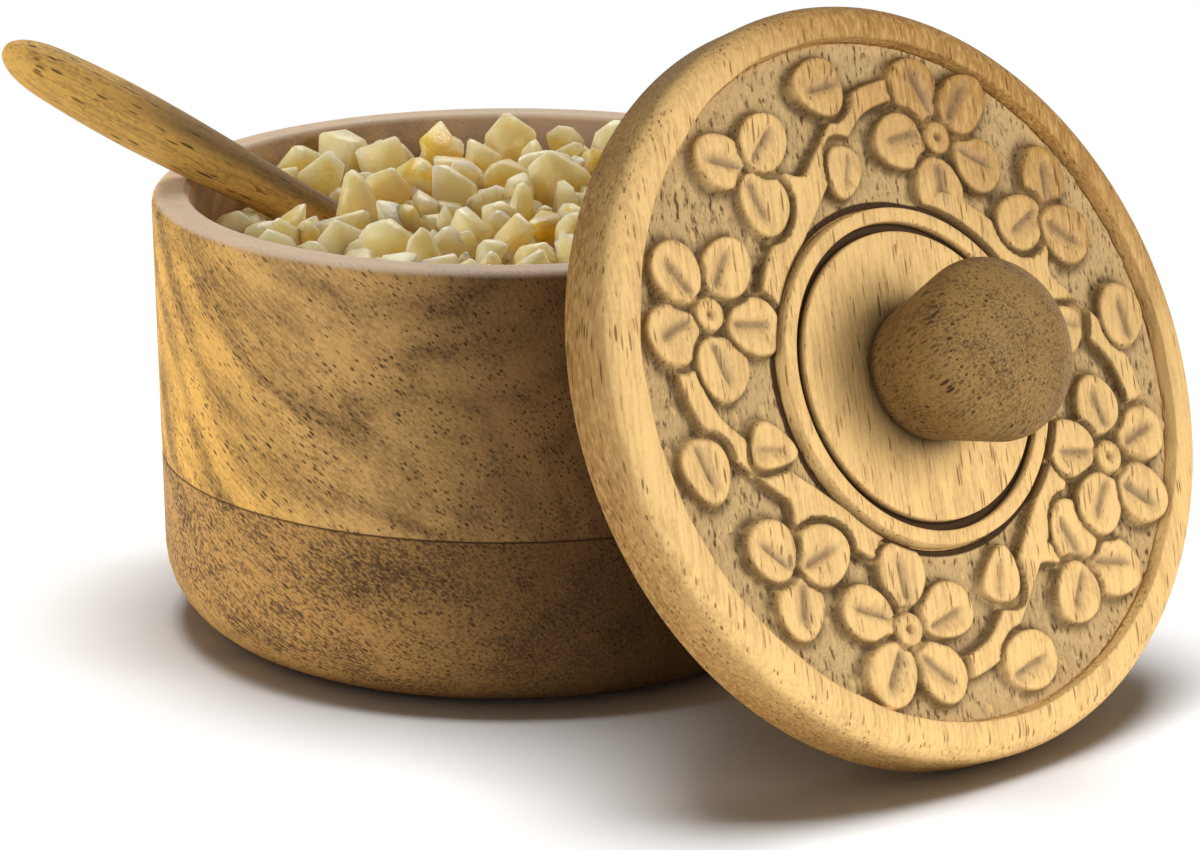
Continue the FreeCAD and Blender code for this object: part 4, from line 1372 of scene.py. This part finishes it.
class SALTBOX_OT_stage(bpy.types.Operator):
    """Set the floor, lamps and camera"""

    bl_idname = "saltbox.stage"
    bl_label = "Stage"

    def execute(self, context):
        settings = context.scene.saltbox_stage
        pieces = [piece for piece in context.scene.objects if piece.type == "MESH"]
        lid = [piece for piece in pieces if piece.name in ("carved_lid", "turned_knob")]
        pot = [piece for piece in pieces if piece not in lid]
        lit = {"lid": lid, "pot": pot, "floor": [self.floor()]}
        self.world(context.scene, settings)
        for name, setting, size, turn, rise, group in LAMPS:
            softbox(name, getattr(settings, setting), size, turn, rise, lit[group])
        self.camera(context.scene, settings)
        context.scene.view_settings.view_transform = "Standard"
        return {"FINISHED"}

    def floor(self):
        """Pale floor that keeps the object's shadow."""
        corners = [(x * FLOOR_HALF, y * FLOOR_HALF, 0) for x, y in ((-1, -1), (1, -1), (1, 1), (-1, 1))]
        material, _, shader = new_material("studio floor")
        for key, value in FLOOR_SHADER.items():
            shader.inputs[key].default_value = value
        floor = new_piece("studio_floor", corners, [(0, 1, 2, 3)], material)
        return floor

    def world(self, scene, settings):
        """Even light, with plain white for the camera, for glossy rays and through the crystals."""
        world = bpy.data.worlds.new("studio")
        world.use_nodes = True
        tree = world.node_tree
        paths = add(tree, "ShaderNodeLightPath").outputs
        plain = math_of(tree, "MAXIMUM", paths["Is Camera Ray"], paths["Is Transmission Ray"])
        plain = math_of(tree, "MAXIMUM", plain, paths["Is Glossy Ray"])
        strength = add(tree, "ShaderNodeMix", {0: plain, 2: settings.sky, 3: 1.0}).outputs[0]
        background = tree.nodes["Background"]
        background.inputs["Color"].default_value = (1, 1, 1, 1)
        plug(tree, background.inputs["Strength"], strength)
        scene.world = world

    def camera(self, scene, settings):
        """Camera at the photograph's viewing angle."""
        camera = bpy.data.cameras.new("camera")
        camera.lens = settings.lens
        camera.sensor_fit = "HORIZONTAL"
        camera.clip_start = CLIP_START
        camera.clip_end = CLIP_END
        holder = bpy.data.objects.new("camera", camera)
        holder.location = settings.eye
        ahead = Vector((
            math.sin(settings.yaw) * math.cos(settings.pitch),
            math.cos(settings.yaw) * math.cos(settings.pitch),
            math.sin(settings.pitch)))
        holder.rotation_euler = ahead.to_track_quat("-Z", "Y").to_euler()
        scene.collection.objects.link(holder)
        scene.camera = holder


class SALTBOX_PT_panel(bpy.types.Panel):
    """Panel that lists the steps and their settings"""

    bl_idname = "SALTBOX_PT_panel"
    bl_label = "Salt box"
    bl_space_type = "VIEW_3D"
    bl_region_type = "UI"
    bl_category = "Salt box"

    def draw(self, context):
        for operator in OPERATORS:
            self.layout.operator(operator.bl_idname)
        for name, group in SETTINGS.items():
            box = self.layout.box()
            for key in group.__annotations__:
                box.prop(getattr(context.scene, name), key)


OPERATORS = (
    SALTBOX_OT_pot, SALTBOX_OT_lid, SALTBOX_OT_knob, SALTBOX_OT_spoon, SALTBOX_OT_salt, SALTBOX_OT_stage)
SETTINGS = {
    "saltbox_pot": PotSettings,
    "saltbox_lid": LidSettings,
    "saltbox_knob": KnobSettings,
    "saltbox_salt": SaltSettings,
    "saltbox_finish": FinishSettings,
    "saltbox_stage": StageSettings,
}


def register():
    """Make the settings, operators and panel known."""
    for name, group in SETTINGS.items():
        bpy.utils.register_class(group)
        setattr(bpy.types.Scene, name, PointerProperty(type=group))
    for item in (*OPERATORS, SALTBOX_PT_panel):
        bpy.utils.register_class(item)


def unregister():
    """Take the panel, operators and settings away again."""
    for item in reversed((*OPERATORS, SALTBOX_PT_panel)):
        bpy.utils.unregister_class(item)
    for name, group in SETTINGS.items():
        delattr(bpy.types.Scene, name)
        bpy.utils.unregister_class(group)


def main():
    """Make the whole salt box and its stage."""
    register()
    bpy.ops.saltbox.pot()
    bpy.ops.saltbox.lid()
    bpy.ops.saltbox.knob()
    bpy.ops.saltbox.spoon()
    bpy.ops.saltbox.salt()
    bpy.ops.saltbox.stage()


if __name__ == "__main__":
    main()
